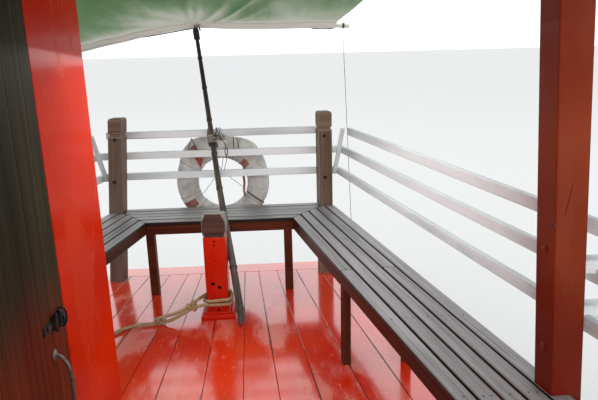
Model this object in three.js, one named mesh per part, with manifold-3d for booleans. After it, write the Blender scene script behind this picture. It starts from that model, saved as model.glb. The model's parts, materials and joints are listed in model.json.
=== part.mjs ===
// A wooden river passenger boat with a longtail motor, in millimetres.
// +X is starboard, +Y is the bow, +Z is up. The origin lies on the waterline, on the centreline, amidships.
// Heights that are named in the tables are measured from the top of the deck.
import * as THREE from "three";
import { mergeVertices } from "three/addons/utils/BufferGeometryUtils.js";
import Module from "manifold-3d";

const wasm = await Module();
wasm.setup();

// Fits
const SEAT_GAP = 0.3;
const NOTCH_GAP = 5;
const BITE = 2;

// Hull
const BOW = 6500;
const STERN = -6500;
const DECK = 600;
const DECK_THICK = 30;
const BOW_HALF = 755;
const FLARE = 0.2;
const STRAIGHT_TO = 3900;
const FULL_FROM = 2640;
const FULL_TO = -2500;
const STERN_HALF = 1100;
const KNOTS = [3900, 3585, 3270, 2955, 2640, -2500, -3300, -4100, -4900, -5700];
const KEEL_HALF = 50;
const KEEL_DEEP = 45;

// Foredeck
const HEAD_SEAM = 6355;
const SEAT_TOP = 476;
const SEAT_DEEP = 330;
const SLATS = 5;
const SLAT_GAP = 8;
const SLAT_THICK = 24;
const BENCH_OUT = 75;
const BENCH_FRONT = 6015;
const APRON_LOW = 395;
const APRON_THICK = 25;
const RAIL_HIGH = 45;
const RAIL_THICK = 25;
const RAIL_TOPS = [982, 850, 714];
const RAIL_SET = [5, -3, -32];
const RAIL_END = -5000;
const RAIL_CLOSE = 0.007;

// Roof and deckhouse
const ROOF_FRONT = 4800;
const ROOF_AFT = -5300;
const ROOF_LOW = 2100;
const ROOF_THICK = 22;
const ROOF_RISE = 90;
const ROOF_REF = 1520;
const EAVE_OUT = 190;
const PLATE_HIGH = 80;
const PLATE_HALF = 32;
const POST_WIDE = 89;
const POST_LONG = 78;
const POST_AFT = 45;
const POST_LEAN = 0.0645;
const HOUSE_FRONT = 4765;
const HOUSE_AFT = 2900;
const HOUSE_IN = -320;
const WALL = 35;
const DOOR_AFT = 3600;
const DOOR_FORE = 4300;
const DOOR_HIGH = 1902;
const HINGE_OUT = 8;
const HINGE_ZS = [300, 1600];

// Canopy, pole and spar
const POLE_FOOT = [138, 5545, 0];
const POLE_HEAD = [-149, 6817, 1615];
const POLE_R = 20.5;
const POLE_CUT = 1598.5;
const SPAR_R = 17;
const SPAR_Y = 6817;
const SPAR_LINE = [[-1080, 1478], [-600, 1560], [-149, 1617.4], [360, 1636], [905, 1640]];
const CANOPY_THICK = 6;

// Bitt
const BITT_X = -2;
const BITT_Y = 5724;
const BITT_HALF = 62;
const BITT_BASE = 96;
const BITT_STEP = 80;
const BITT_HIGH = 476;
const BITT_TOP = 613;
const HEAD_HALF = 65;
const HEAD_CUT = 24;

// Mooring rope
const ROPE_R = 10;

// Longtail motor
const PIVOT = [0, -6250, DECK + 430];
const TAIL_DIP = THREE.MathUtils.degToRad(19);
const TAIL_LONG = 3640;
const TAIL_R = 30;
const BED_HALF = 70;
const PIN_R = 15.5;
const PIN_FIT = 0.55;
const SHAFT_R = 12;
const PROP_R = 140;
const TILLER_END = 1420;

// Half width of the deck at a station.
function beam(y) {
  if (y > STRAIGHT_TO) return BOW_HALF + FLARE * (BOW - y);
  const straight = BOW_HALF + FLARE * (BOW - STRAIGHT_TO);
  const bend = STRAIGHT_TO - FULL_FROM;
  const d = Math.min(STRAIGHT_TO - y, bend);
  const full = straight + FLARE * d - (FLARE * d * d) / (2 * bend);
  const run = Math.max(FULL_TO - y, 0) / (FULL_TO - STERN);
  return full - (full - STERN_HALF) * run * run;
}

// The rails open out a little less than the deck's edge.
const railLine = (y) => beam(y) - RAIL_CLOSE * (BOW - Math.max(y, STRAIGHT_TO));

const eave = (y) => Math.min(beam(y) + EAVE_OUT, ROOF_REF);

// Height of the roof's arch over its eaves: straight facets between the lines at ARCH_XS.
const ARCH_XS = [0, 250, 500, 750, 1000, ROOF_REF];
function rise(x) {
  const i = Math.max(ARCH_XS.findIndex((edge) => Math.abs(x) <= edge), 1);
  const [a, b] = [ARCH_XS[i - 1], ARCH_XS[i]];
  const high = (edge) => ROOF_RISE * (1 - (edge / ROOF_REF) ** 2);
  return THREE.MathUtils.mapLinear(Math.abs(x), a, b, high(a), high(b));
}

const steps = (n) => Array.from({ length: n + 1 }, (_, i) => i / n);
const lerp = THREE.MathUtils.lerp;

// The stations from one end of a run to the other, with the hull's knots between them.
function stations(fore, aft) {
  return [fore, ...KNOTS.filter((y) => y < fore - 1 && y > aft + 1), aft];
}

function solid(geometry) {
  const bare = geometry.index ? geometry.toNonIndexed() : geometry.clone();
  bare.deleteAttribute("normal");
  bare.deleteAttribute("uv");
  const merged = mergeVertices(bare, 1e-3);
  return new wasm.Manifold(
    new wasm.Mesh({
      numProp: 3,
      vertProperties: merged.attributes.position.array,
      triVerts: new Uint32Array(merged.index.array),
    }),
  );
}

function geometryOf(shape) {
  const mesh = shape.getMesh();
  const out = new THREE.BufferGeometry();
  out.setAttribute("position", new THREE.BufferAttribute(mesh.vertProperties, 3));
  out.setIndex(new THREE.BufferAttribute(mesh.triVerts, 1));
  return out;
}

function join(pieces, cuts = []) {
  const whole = pieces.map(solid).reduce((a, b) => a.add(b));
  return geometryOf(cuts.map(solid).reduce((a, b) => a.subtract(b), whole));
}

// Turns a closed surface of points and triangles into a geometry that faces out.
function closed(points, triangles) {
  const at = (i) => points[i];
  const six = triangles.reduce((sum, [a, b, c]) => sum + at(a).dot(at(b).clone().cross(at(c))), 0);
  const facing = six < 0 ? triangles.map(([a, b, c]) => [a, c, b]) : triangles;
  const out = new THREE.BufferGeometry();
  out.setAttribute("position", new THREE.Float32BufferAttribute(points.flatMap((p) => [p.x, p.y, p.z]), 3));
  out.setIndex(facing.flat());
  return out;
}

// Skins convex rings of equal length, with flat ends.
function loft(rings) {
  const n = rings[0].length;
  const triangles = [];
  for (let r = 0; r < rings.length - 1; r += 1) {
    for (let i = 0; i < n; i += 1) {
      const a = r * n + i;
      const b = r * n + ((i + 1) % n);
      triangles.push([a, b, b + n], [a, b + n, a + n]);
    }
  }
  const last = (rings.length - 1) * n;
  for (let i = 1; i < n - 1; i += 1) {
    triangles.push([0, i + 1, i], [last, last + i, last + i + 1]);
  }
  return closed(rings.flat(), triangles);
}

// A thin closed shell between two grids of points.
function shell(top, low) {
  const rows = top.length;
  const cols = top[0].length;
  const half = rows * cols;
  const triangles = [];
  const quad = (a, b, c, d) => triangles.push([a, b, c], [a, c, d]);
  for (let i = 0; i < rows - 1; i += 1) {
    for (let j = 0; j < cols - 1; j += 1) {
      const a = i * cols + j;
      quad(a, a + 1, a + cols + 1, a + cols);
      quad(half + a, half + a + cols, half + a + cols + 1, half + a + 1);
    }
  }
  for (let i = 0; i < rows - 1; i += 1) {
    for (const [a, b] of [[(i + 1) * cols, i * cols], [i * cols + cols - 1, (i + 2) * cols - 1]]) {
      quad(b, a, a + half, b + half);
    }
  }
  for (let j = 0; j < cols - 1; j += 1) {
    for (const [a, b] of [[j, j + 1], [half - cols + j + 1, half - cols + j]]) {
      quad(b, a, a + half, b + half);
    }
  }
  return closed([...top.flat(), ...low.flat()], triangles);
}

// A flat board of any outline, seen from above.
function board(outline, low, high) {
  const shape = new THREE.Shape(outline.map(([x, y]) => new THREE.Vector2(x, y)));
  const out = new THREE.ExtrudeGeometry(shape, { depth: high - low, bevelEnabled: false });
  return out.translate(0, 0, DECK + low);
}

// A strip along the hull's side, its edges set in or out from the line, which is the deck's edge.
function strip(side, fore, aft, inner, outer, low, high, line = beam) {
  const ys = stations(fore, aft);
  const near = ys.map((y) => [side * (line(y) + inner), y]);
  const far = ys.map((y) => [side * (line(y) + outer), y]).reverse();
  return board([...near, ...far], low, high);
}

function box(x0, x1, y0, y1, z0, z1) {
  const out = new THREE.BoxGeometry(Math.abs(x1 - x0), Math.abs(y1 - y0), Math.abs(z1 - z0));
  return out.translate((x0 + x1) / 2, (y0 + y1) / 2, (z0 + z1) / 2);
}

const deckBox = (x0, x1, y0, y1, z0, z1) => box(x0, x1, y0, y1, DECK + z0, DECK + z1);

// A bar of rectangular section between two places, each given as [x, y, z].
function bar(from, to, wide, deep, across = [1, 0, 0]) {
  const a = new THREE.Vector3(...from);
  const b = new THREE.Vector3(...to);
  const u = new THREE.Vector3(...across).normalize();
  const v = b.clone().sub(a).cross(u).normalize();
  const corners = [[-1, -1], [1, -1], [1, 1], [-1, 1]];
  const ring = (p) =>
    corners.map(([i, j]) =>
      p.clone().addScaledVector(u, (i * wide) / 2).addScaledVector(v, (j * deep) / 2),
    );
  return loft([ring(a), ring(b)]);
}

function rod(radius, from, to, sides = 16) {
  const a = new THREE.Vector3(...from);
  const b = new THREE.Vector3(...to);
  const out = new THREE.CylinderGeometry(radius, radius, a.distanceTo(b), sides);
  const turn = new THREE.Quaternion().setFromUnitVectors(
    new THREE.Vector3(0, 1, 0),
    b.clone().sub(a).normalize(),
  );
  return out.applyQuaternion(turn).translate(...a.add(b).multiplyScalar(0.5).toArray());
}

// A round tube that follows a smooth curve through its points.
function tube(points, radius, count, sides = 12) {
  const curve = new THREE.CatmullRomCurve3(points.map((p) => new THREE.Vector3(...p)));
  const section = new THREE.Shape();
  section.absarc(0, 0, radius, 0, 2 * Math.PI);
  return new THREE.ExtrudeGeometry(section, {
    steps: count,
    curveSegments: sides / 2,
    extrudePath: curve,
    bevelEnabled: false,
  });
}

const group = new THREE.Group();

// Colour, roughness and metalness of each finish.
const FINISHES = {
  deck_red: [0xb5281c, 0.3, 0],
  panel_red: [0xd02a12, 0.2, 0],
  bitt_red: [0xe02a10, 0.4, 0],
  hull_paint: [0x8c3b22, 0.5, 0],
  slat_wood: [0x6e6258, 0.7, 0],
  dark_wood: [0x4a2f26, 0.6, 0],
  post_wood: [0x6b564b, 0.7, 0],
  roof_post_red: [0x8a3a26, 0.5, 0],
  rail_white: [0xc9c9c8, 0.7, 0],
  pole_bamboo: [0x5c544e, 0.7, 0],
  canopy_cloth: [0x8fb39a, 0.6, 0],
  spar_white: [0xd9d9d4, 0.5, 0],
  ring_canvas: [0xc5c3bb, 0.8, 0],
  rope: [0xa88a68, 0.9, 0],
  roof_board: [0x9a9c98, 0.6, 0],
  door_wood: [0x2f1b17, 0.5, 0],
  iron: [0x24211f, 0.5, 0.6],
  engine_paint: [0x2f5a4a, 0.4, 0.3],
  steel: [0x8d9090, 0.4, 0.8],
  brass: [0xb08d48, 0.35, 0.9],
  plastic: [0x2c4a7a, 0.5, 0],
};

function place(name, geometry, finish, parent = group) {
  const [color, roughness, metalness] = FINISHES[finish];
  const mesh = new THREE.Mesh(geometry, new THREE.MeshStandardMaterial({ color, roughness, metalness }));
  mesh.name = name;
  parent.add(mesh);
  return mesh;
}

// Hull: half width at the chine and height of the bottom, from the waterline.
const HULL_COLUMNS = { y: 0, chine: 1, bottom: 2 };
const HULL = [
  [BOW, 560, 300],
  [6200, 640, 150],
  [5800, 730, 10],
  [5200, 850, -150],
  [4500, 980, -255],
  [3900, 1080, -300],
  [2955, 1200, -320],
  [2640, 1230, -325],
  [0, 1235, -325],
  [-2500, 1230, -325],
  [-4100, 1170, -310],
  [-4900, 1115, -250],
  [-5700, 1035, -150],
  [STERN, 930, -30],
];
const HULL_YS = [...new Set([...HULL.map((row) => row[0]), ...KNOTS])].sort((a, b) => b - a);

// The hull's row at any station, read between the rows of its table.
function hullRow(y) {
  const i = Math.max(HULL.findIndex((row) => row[0] <= y), 1);
  const [fore, aft] = [HULL[i - 1], HULL[i]];
  const t = (y - fore[0]) / (aft[0] - fore[0]);
  return fore.map((value, k) => lerp(value, aft[k], t));
}
const TOP_EDGE = DECK - DECK_THICK - SEAT_GAP;
const BILGE_UP = 85;
const BILGE_IN = 110;
const SIDE_BULGE = 18;

function hullRing(row) {
  const y = row[HULL_COLUMNS.y];
  const chine = row[HULL_COLUMNS.chine];
  const bottom = row[HULL_COLUMNS.bottom];
  const half = beam(y);
  const side = [
    [half, TOP_EDGE],
    [half, TOP_EDGE - 60],
    [lerp(half, chine, 0.4) + SIDE_BULGE, lerp(TOP_EDGE, bottom, 0.45)],
    [chine + SIDE_BULGE, bottom + 2 * BILGE_UP],
    [chine - 20, bottom + 0.7 * BILGE_UP],
    [chine - BILGE_IN, bottom + 15],
    [0.4 * chine, bottom + 4],
  ];
  const port = side.map(([x, z]) => [-x, z]).reverse();
  return [...side, [0, bottom], ...port].map(([x, z]) => new THREE.Vector3(x, y, z));
}

function keelRing(row) {
  const y = row[HULL_COLUMNS.y];
  const bottom = row[HULL_COLUMNS.bottom];
  const section = [
    [-KEEL_HALF, bottom - KEEL_DEEP],
    [KEEL_HALF, bottom - KEEL_DEEP],
    [KEEL_HALF, bottom + 40],
    [-KEEL_HALF, bottom + 40],
  ];
  return section.map(([x, z]) => new THREE.Vector3(x, y, z));
}

function makeHull() {
  const rows = HULL_YS.map(hullRow);
  const keelRows = rows.filter((row) => row[0] < BOW - 200 && row[0] > STERN + 200);
  const hull = join([loft(rows.map(hullRing)), loft(keelRows.map(keelRing))]);
  place("hull", hull, "hull_paint");

  const ys = stations(HEAD_SEAM, STERN);
  const right = ys.map((y) => [beam(y), y]);
  const left = ys.map((y) => [-beam(y), y]).reverse();
  place("deck", board([...right, ...left], -DECK_THICK, 0), "deck_red");

  const seam = HEAD_SEAM + SEAT_GAP;
  const head = [[beam(seam), seam], [BOW_HALF, BOW], [-BOW_HALF, BOW], [-beam(seam), seam]];
  place("bow_head_plank", board(head, -DECK_THICK, 0), "deck_red");

  for (const [name, side] of [["starboard", 1], ["port", -1]]) {
    const rail = strip(side, BOW, STERN, SEAT_GAP, 50, -95, -8);
    place("rub_rail_" + name, rail, "hull_paint");
  }
}

// Corner posts of the bow: face across at the foot, lean of the head, height.
const CORNER_POSTS = [
  { name: "corner_post_starboard", foot: 632, head: 632, top: 1085 },
  { name: "corner_post_port", foot: -774, head: -677, top: 1080 },
];
const CORNER_WIDE = 87;
const CORNER_SKEW = 12;
const CORNER_AFT = 6265;
const CORNER_FORE = 6354.7;

function cornerPost(post, grow) {
  const low = SEAT_GAP - grow;
  const ring = (z, shrink) => {
    const x = lerp(post.foot, post.head, z / post.top);
    const x0 = x - grow + shrink;
    const x1 = x + CORNER_WIDE + grow - shrink;
    const y0 = CORNER_AFT - grow + shrink;
    const y1 = CORNER_FORE + grow - shrink;
    const skew = -Math.sign(post.foot) * CORNER_SKEW;
    const corners = [[x0, y0], [x1, y0], [x1 + skew, y1], [x0 + skew, y1]];
    return corners.map(([a, b]) => new THREE.Vector3(a, b, DECK + z));
  };
  if (grow) return loft([ring(low, 0), ring(post.top + grow, 0)]);
  const notch = post.top - 105;
  const shank = [[low, 0], [notch - 12, 0], [notch, 11], [notch + 12, 0]];
  const heights = [...shank, [post.top - 10, 0], [post.top, 9]];
  return loft(heights.map(([z, shrink]) => ring(z, shrink)));
}

// Bow rails lie on the forward faces of the corner posts; the lower two reach out to the side rails.
const BOW_RAILS = [
  { name: "bow_rail_top", reach: 722 },
  { name: "bow_rail_middle", reach: 812 },
  { name: "bow_rail_lower", reach: 768 },
];
const SIDE_RAIL_FORE = [6235, 6354.5, 6354.5];

function makeBowRails() {
  BOW_RAILS.forEach(({ name, reach }, i) => {
    const y = HEAD_SEAM;
    const high = RAIL_TOPS[i];
    const rail = deckBox(-reach, reach, y, y + RAIL_THICK + 3, high - RAIL_HIGH, high);
    place(name, rail, "rail_white");
  });
}

// Roof posts stand just inside the deck's edge, follow its line and lean inboard.
const POST_YS = [4110, 1820, -450, -2720, -4990];
const POST_SET = 12;

function roofPost(side, y, grow) {
  const high = ROOF_LOW - PLATE_HIGH - SEAT_GAP + grow;
  const low = SEAT_GAP - grow;
  const y0 = y - POST_AFT - grow;
  const y1 = y - POST_AFT + POST_LONG + grow;
  const ring = (z) => {
    const outer = grow - POST_SET - POST_LEAN * z;
    const inner = outer - POST_WIDE - 2 * grow;
    const corners = [[inner, y0], [outer, y0], [outer, y1], [inner, y1]];
    return corners.map(([set, b]) => new THREE.Vector3(side * (beam(b) + set), b, DECK + z));
  };
  return loft([ring(low), ring(high)]);
}

// Side rails: three boards, a slanted strut at the bow and cross blocks at the roof posts.
const BLOCK_OUT = 60;
const STANCHION_YS = [2950, 700, -1600, -3850, -4960];
const STRUT = { top: 6262, foot: 6322, wide: 36 };

function makeSideRails() {
  for (const [name, side] of [["starboard", 1], ["port", -1]]) {
    const boards = RAIL_TOPS.map((top, i) => {
      const inner = RAIL_SET[i];
      const low = top - RAIL_HIGH;
      return strip(side, SIDE_RAIL_FORE[i], RAIL_END, inner, inner + RAIL_THICK, low, top, railLine);
    });
    const head = [side * (beam(STRUT.top) + RAIL_SET[0] - 6), STRUT.top, DECK + RAIL_TOPS[0] - 5];
    const foot = [side * (beam(STRUT.foot) + RAIL_SET[2] - 6), STRUT.foot, DECK + RAIL_TOPS[2] - 40];
    const strut = bar(head, foot, 20, STRUT.wide);
    const blocks = POST_YS.filter((y) => side > 0 || y < HOUSE_AFT).flatMap((y) =>
      [1, 2].map((i) => {
        const low = RAIL_TOPS[i] - 14;
        const inner = -POST_SET - POST_LEAN * low + 0.6;
        const outer = RAIL_SET[i] + RAIL_THICK + BLOCK_OUT;
        return strip(side, y + 22, y - 22, inner, outer, low, low + 42);
      }),
    );
    const stanchions = STANCHION_YS.map((y) => {
      const inner = railLine(y) + RAIL_SET[2] + 2;
      const outer = railLine(y) + RAIL_SET[0] + RAIL_THICK - 2;
      return deckBox(side * inner, side * outer, y - 20, y + 20, RAIL_TOPS[2] - 40, RAIL_TOPS[0] - 3);
    });
    place("side_rails_" + name, join([...boards, strut, ...blocks, ...stanchions]), "rail_white");
  }
}

// The bench's mitre at the bow corner: t is 0 on the inner edge and 1 on the outer.
function mitre(t) {
  const y = BENCH_FRONT + SEAT_DEEP * t;
  return [beam(y) - BENCH_OUT - SEAT_DEEP * (1 - t), y];
}

const SLAT_WIDE = (SEAT_DEEP - SLAT_GAP * (SLATS - 1)) / SLATS;
const slatEdges = Array.from({ length: SLATS }, (_, i) => {
  const from = i * (SLAT_WIDE + SLAT_GAP);
  return [from / SEAT_DEEP, (from + SLAT_WIDE) / SEAT_DEEP];
});
const CLEAT_LOW = SEAT_TOP - SLAT_THICK - 24;
const SLAT_LOW = SEAT_TOP - SLAT_THICK;

function sidePoint(side, y, t) {
  return [side * (beam(y) - BENCH_OUT - SEAT_DEEP * (1 - t)), y];
}

// Slats that run along the hull's side from the mitre, or from a square end, to a square end.
function sideSlats(side, fore, aft) {
  return slatEdges.map(([t0, t1]) => {
    const start = (t) => (fore === "mitre" ? mitre(t)[1] - SLAT_GAP / 2 : fore);
    const run = (t) => stations(start(t), aft).map((y) => sidePoint(side, y, t));
    return board([...run(t0), ...run(t1).reverse()], SLAT_LOW, SEAT_TOP);
  });
}

function crossPiece(side, y, t0, t1, wide, low, high) {
  const corners = [[y - wide / 2, t0], [y + wide / 2, t0], [y + wide / 2, t1], [y - wide / 2, t1]];
  return board(corners.map(([a, t]) => sidePoint(side, a, t)), low, high);
}

// Each bench along the side: its ends, the stations of its legs and of the cleats under its slats.
const SIDE_BENCHES = [
  {
    name: "bench_starboard",
    side: 1,
    fore: "mitre",
    aft: -4400,
    legs: [5105, 3700, 2500, 1200, -100, -1400, -2300, -3500, -4300],
    cleats: [5950, 4700, 3500, 2200, 1400, 0, -900, -2200, -3100, -4100],
  },
  {
    name: "bench_port_fore",
    side: -1,
    fore: "mitre",
    aft: HOUSE_FRONT + 4,
    legs: [5105],
    cleats: [5950, 5400, 4850],
  },
  {
    name: "bench_port_aft",
    side: -1,
    fore: HOUSE_AFT - 4,
    aft: -4400,
    legs: [2500, 1200, -100, -1400, -2300, -3500, -4300],
    cleats: [2800, 2100, 1400, 0, -900, -2200, -3100, -4100],
  },
];
const LEG = 36;
const BACK_T = 1 - APRON_THICK / SEAT_DEEP;
const FRONT_T = 4 / SEAT_DEEP;
const APRON_TOP = SLAT_LOW - SEAT_GAP;
const BEARER_TOP = CLEAT_LOW - SEAT_GAP;

function makeSideBenches(cuts) {
  for (const { name, side, fore, aft, legs, cleats } of SIDE_BENCHES) {
    const cutsHere = cuts.filter((cut) => cut.side === side).map((cut) => cut.shape);
    const slats = sideSlats(side, fore, aft);
    const apronT1 = FRONT_T + APRON_THICK / SEAT_DEEP;
    const inset = 6 / SEAT_DEEP;
    const ties = cleats.map((y) =>
      crossPiece(side, y, apronT1 + inset, BACK_T - inset, 50, CLEAT_LOW, SLAT_LOW + BITE),
    );
    place(name + "_seat", join([...slats, ...ties], cutsHere), "slat_wood");

    const start = (t) => (fore === "mitre" ? mitre(t)[1] - SLAT_GAP / 2 : fore);
    const edge = (t0, t1) => {
      const run = (t) => stations(start(t), aft).map((y) => sidePoint(side, y, t));
      return board([...run(t0), ...run(t1).reverse()], APRON_LOW, APRON_TOP);
    };
    const rails = [edge(FRONT_T, apronT1), edge(BACK_T, 1)];
    const bearers = legs.map((y) => crossPiece(side, y, FRONT_T, 1, LEG, APRON_LOW, BEARER_TOP));
    const feet = legs.flatMap((y) =>
      [
        [FRONT_T, FRONT_T + LEG / SEAT_DEEP],
        [1 - LEG / SEAT_DEEP, 1],
      ].map(([t0, t1]) => crossPiece(side, y, t0, t1, LEG, SEAT_GAP, APRON_LOW + BITE)),
    );
    place(name + "_frame", join([...rails, ...bearers, ...feet], cutsHere), "dark_wood");
  }
}

// The places of the bow bench's legs, across the boat.
const BOW_LEGS = [{ front: -427, back: -493 }, { front: 413, back: 419 }];

function makeBowBench(cuts) {
  const inward = (t, side) => side * (mitre(t)[0] - SLAT_GAP / 2);
  const across = (t0, t1, low, high) => {
    const y0 = mitre(t0)[1];
    const y1 = mitre(t1)[1];
    const corners = [
      [inward(t0, 1), y0],
      [inward(t1, 1), y1],
      [inward(t1, -1), y1],
      [inward(t0, -1), y0],
    ];
    return board(corners, low, high);
  };
  const slats = slatEdges.map(([t0, t1]) => across(t0, t1, SLAT_LOW, SEAT_TOP));
  const apronT1 = FRONT_T + APRON_THICK / SEAT_DEEP;
  const front = mitre(apronT1)[1] + 3;
  const back = mitre(BACK_T)[1] - 3;
  const ties = [-380, -130, 130, 380].map((x) =>
    deckBox(x - 25, x + 25, front, back, CLEAT_LOW, SLAT_LOW + BITE),
  );
  place("bench_bow_seat", join([...slats, ...ties], cuts), "slat_wood");

  const rails = [
    across(FRONT_T, apronT1, APRON_LOW, APRON_TOP),
    across(BACK_T, 1, APRON_LOW, APRON_TOP),
  ];
  const legY = mitre(FRONT_T)[1];
  const backY = mitre(1)[1];
  const bearers = [-300, 0, 300].map((x) => deckBox(x - 18, x + 18, legY, backY, APRON_LOW, BEARER_TOP));
  const feet = BOW_LEGS.flatMap(({ front: frontX, back: backX }) => [
    deckBox(frontX - 25, frontX + 25, legY, legY + 50, SEAT_GAP, APRON_LOW + BITE),
    deckBox(backX - 25, backX + 25, backY - 45, backY, SEAT_GAP, APRON_LOW + BITE),
  ]);
  place("bench_bow_frame", join([...rails, ...bearers, ...feet], cuts), "dark_wood");
}

// The bitt: a square post on a stepped base, with a wider head whose corners are cut off towards its top.
function makeBitt() {
  const square = (half, low, high) =>
    deckBox(BITT_X - half, BITT_X + half, BITT_Y - half, BITT_Y + half, low, high);
  const pieces = [
    square(BITT_BASE, SEAT_GAP, 22),
    square(BITT_STEP, 20, 40),
    square(BITT_HALF, 38, BITT_HIGH),
  ];
  place("bitt_post", join(pieces), "bitt_red");

  const ring = ([half, cut, z]) => {
    const c = half - cut;
    const corners = [[half, -c], [half, c], [c, half], [-c, half], [-half, c], [-half, -c], [-c, -half], [c, -half]];
    return corners.map(([x, y]) => new THREE.Vector3(BITT_X + x, BITT_Y + y, DECK + z));
  };
  const low = BITT_HIGH + SEAT_GAP;
  const rings = [
    [HEAD_HALF - 5, 8, low],
    [HEAD_HALF, 4, low + 30],
    [HEAD_HALF, 4, BITT_TOP - 45],
    [HEAD_HALF - 3, HEAD_CUT, BITT_TOP],
  ];
  const wearLine = [[-10, 0], [80, -28], [80, 20], [-10, 20]];
  const worn = [-100, 100].map((x) =>
    wearLine.map(([y, z]) => new THREE.Vector3(x, BITT_Y + y, DECK + BITT_TOP + z)),
  );
  place("bitt_head", join([loft(rings.map(ring))], [loft(worn)]), "post_wood");
}

const above = ([x, y, z]) => [x, y, DECK + z];

const SPAR_STEPS = 16;
const sparCurve = new THREE.CatmullRomCurve3(SPAR_LINE.map(([x, z]) => new THREE.Vector3(x, SPAR_Y, z)));
const sparPoints = sparCurve.getSpacedPoints(SPAR_STEPS);

function sparHeight(x) {
  const i = Math.max(sparPoints.findIndex((p) => x <= p.x), 1);
  const [a, b] = [sparPoints[i - 1], sparPoints[i]];
  return THREE.MathUtils.mapLinear(x, a.x, b.x, a.z, b.z);
}

// The canopy hangs between the spar over the bow and the front beam of the roof.
const CANOPY = { port: -1060, starboard: 810, aftPort: -1220, aftStarboard: 1225, aft: 2085, sag: 70 };
const CANOPY_ACROSS = 18;
const CANOPY_ALONG = 10;

function canopyPoint(u, v, lift) {
  const frontX = lerp(CANOPY.port, CANOPY.starboard, u);
  const front = new THREE.Vector3(frontX, SPAR_Y, sparHeight(frontX) + SPAR_R + 1.2);
  const aftX = lerp(CANOPY.aftPort, CANOPY.aftStarboard, u);
  const aft = new THREE.Vector3(aftX, ROOF_FRONT + SEAT_GAP, CANOPY.aft + 0.6 * rise(aftX));
  const p = front.lerp(aft, v);
  p.z += DECK + lift - CANOPY.sag * 4 * v * (1 - v) * (0.6 + 0.4 * Math.sin(Math.PI * u));
  return p;
}

function makeCanopy() {
  const pole = rod(POLE_R, above(POLE_FOOT), above(POLE_HEAD), 16);
  const trims = [
    deckBox(-400, 400, 6600, 7100, POLE_CUT, POLE_CUT + 200),
    deckBox(-400, 400, 5300, 5800, -200, SEAT_GAP),
  ];
  place("canopy_pole", join([pole], trims), "pole_bamboo");

  const spar = tube(SPAR_LINE.map(([x, z]) => above([x, SPAR_Y, z])), SPAR_R, SPAR_STEPS, 10);
  place("canopy_spar", spar, "spar_white");

  const grid = (lift) =>
    steps(CANOPY_ALONG).map((v) => steps(CANOPY_ACROSS).map((u) => canopyPoint(u, v, lift)));
  place("canopy", shell(grid(CANOPY_THICK), grid(0)), "canopy_cloth");
}

function makeLifeRing() {
  const ring = { mean: 236, across: 73, deep: 52, y: HEAD_SEAM + RAIL_THICK + 3 + SEAT_GAP, z: 620 };
  const profile = steps(12).map((t) => {
    const a = 2 * Math.PI * t;
    return new THREE.Vector2(ring.mean + ring.across * Math.cos(a), ring.deep * Math.sin(a));
  });
  profile[profile.length - 1].copy(profile[0]);
  const body = new THREE.LatheGeometry(profile, 32).translate(0, ring.y + ring.deep, DECK + ring.z);
  place("life_ring", body, "ring_canvas");
}

// The mooring rope: two turns round the bitt, a run across the deck, and a coil under the port bench.
const TURNS = { inner: BITT_HALF + 1, outer: BITT_HALF + 21, low: 72, high: 121, round: 12 };
const COIL = { x: -745, y: 5300, mid: 120, half: 34, low: 3, high: 83 };
const ROPE_ROUTE = [
  [-90.4, 5666, 97],
  [-111, 5655, 93],
  [-142, 5641, 78],
  [-178, 5629, 58],
  [-221, 5621, 42],
  [-266, 5620, 31],
  [-320, 5625, 22],
  [-383, 5622, 12],
  [-440, 5603, 11],
  [-492, 5573, 11],
  [-532, 5536, 11],
  [-568, 5493, 11],
  [-602, 5452, 13],
  [-636.7, 5410.1, 16],
];

function roundedSquare(half, round) {
  const shape = new THREE.Shape();
  const quarter = Math.PI / 2;
  [[1, -1], [1, 1], [-1, 1], [-1, -1]].forEach(([i, j], k) => {
    const x = BITT_X + i * (half - round);
    const y = BITT_Y + j * (half - round);
    shape.absarc(x, y, round, (k - 1) * quarter, k * quarter);
  });
  return shape;
}

function makeRope() {
  const ring = roundedSquare(TURNS.outer, TURNS.round);
  ring.holes.push(roundedSquare(TURNS.inner, 1));
  const depth = TURNS.high - TURNS.low;
  const turns = new THREE.ExtrudeGeometry(ring, { depth, bevelEnabled: false, curveSegments: 3 });
  place("mooring_rope_turns", turns.translate(0, 0, DECK + TURNS.low), "rope");
  place("mooring_rope", tube(ROPE_ROUTE.map(above), ROPE_R, 26, 8), "rope");

  const inner = COIL.mid - COIL.half;
  const outer = COIL.mid + COIL.half;
  const profile = [
    [inner, COIL.low],
    [outer, COIL.low],
    [outer, COIL.high],
    [inner, COIL.high],
    [inner, COIL.low],
  ].map(([r, z]) => new THREE.Vector2(r, z));
  const coil = new THREE.LatheGeometry(profile, 32).rotateX(Math.PI / 2);
  place("mooring_rope_coil", coil.translate(COIL.x, COIL.y, DECK), "rope");
}

function archPoints(y, half, lift) {
  const lines = ARCH_XS.slice(0, -1);
  const right = [...lines, half];
  const xs = [...right.map((x) => -x).reverse().slice(0, -1), ...right];
  return xs.map((x) => new THREE.Vector3(x, y, DECK + ROOF_LOW + rise(x) + lift));
}

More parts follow.
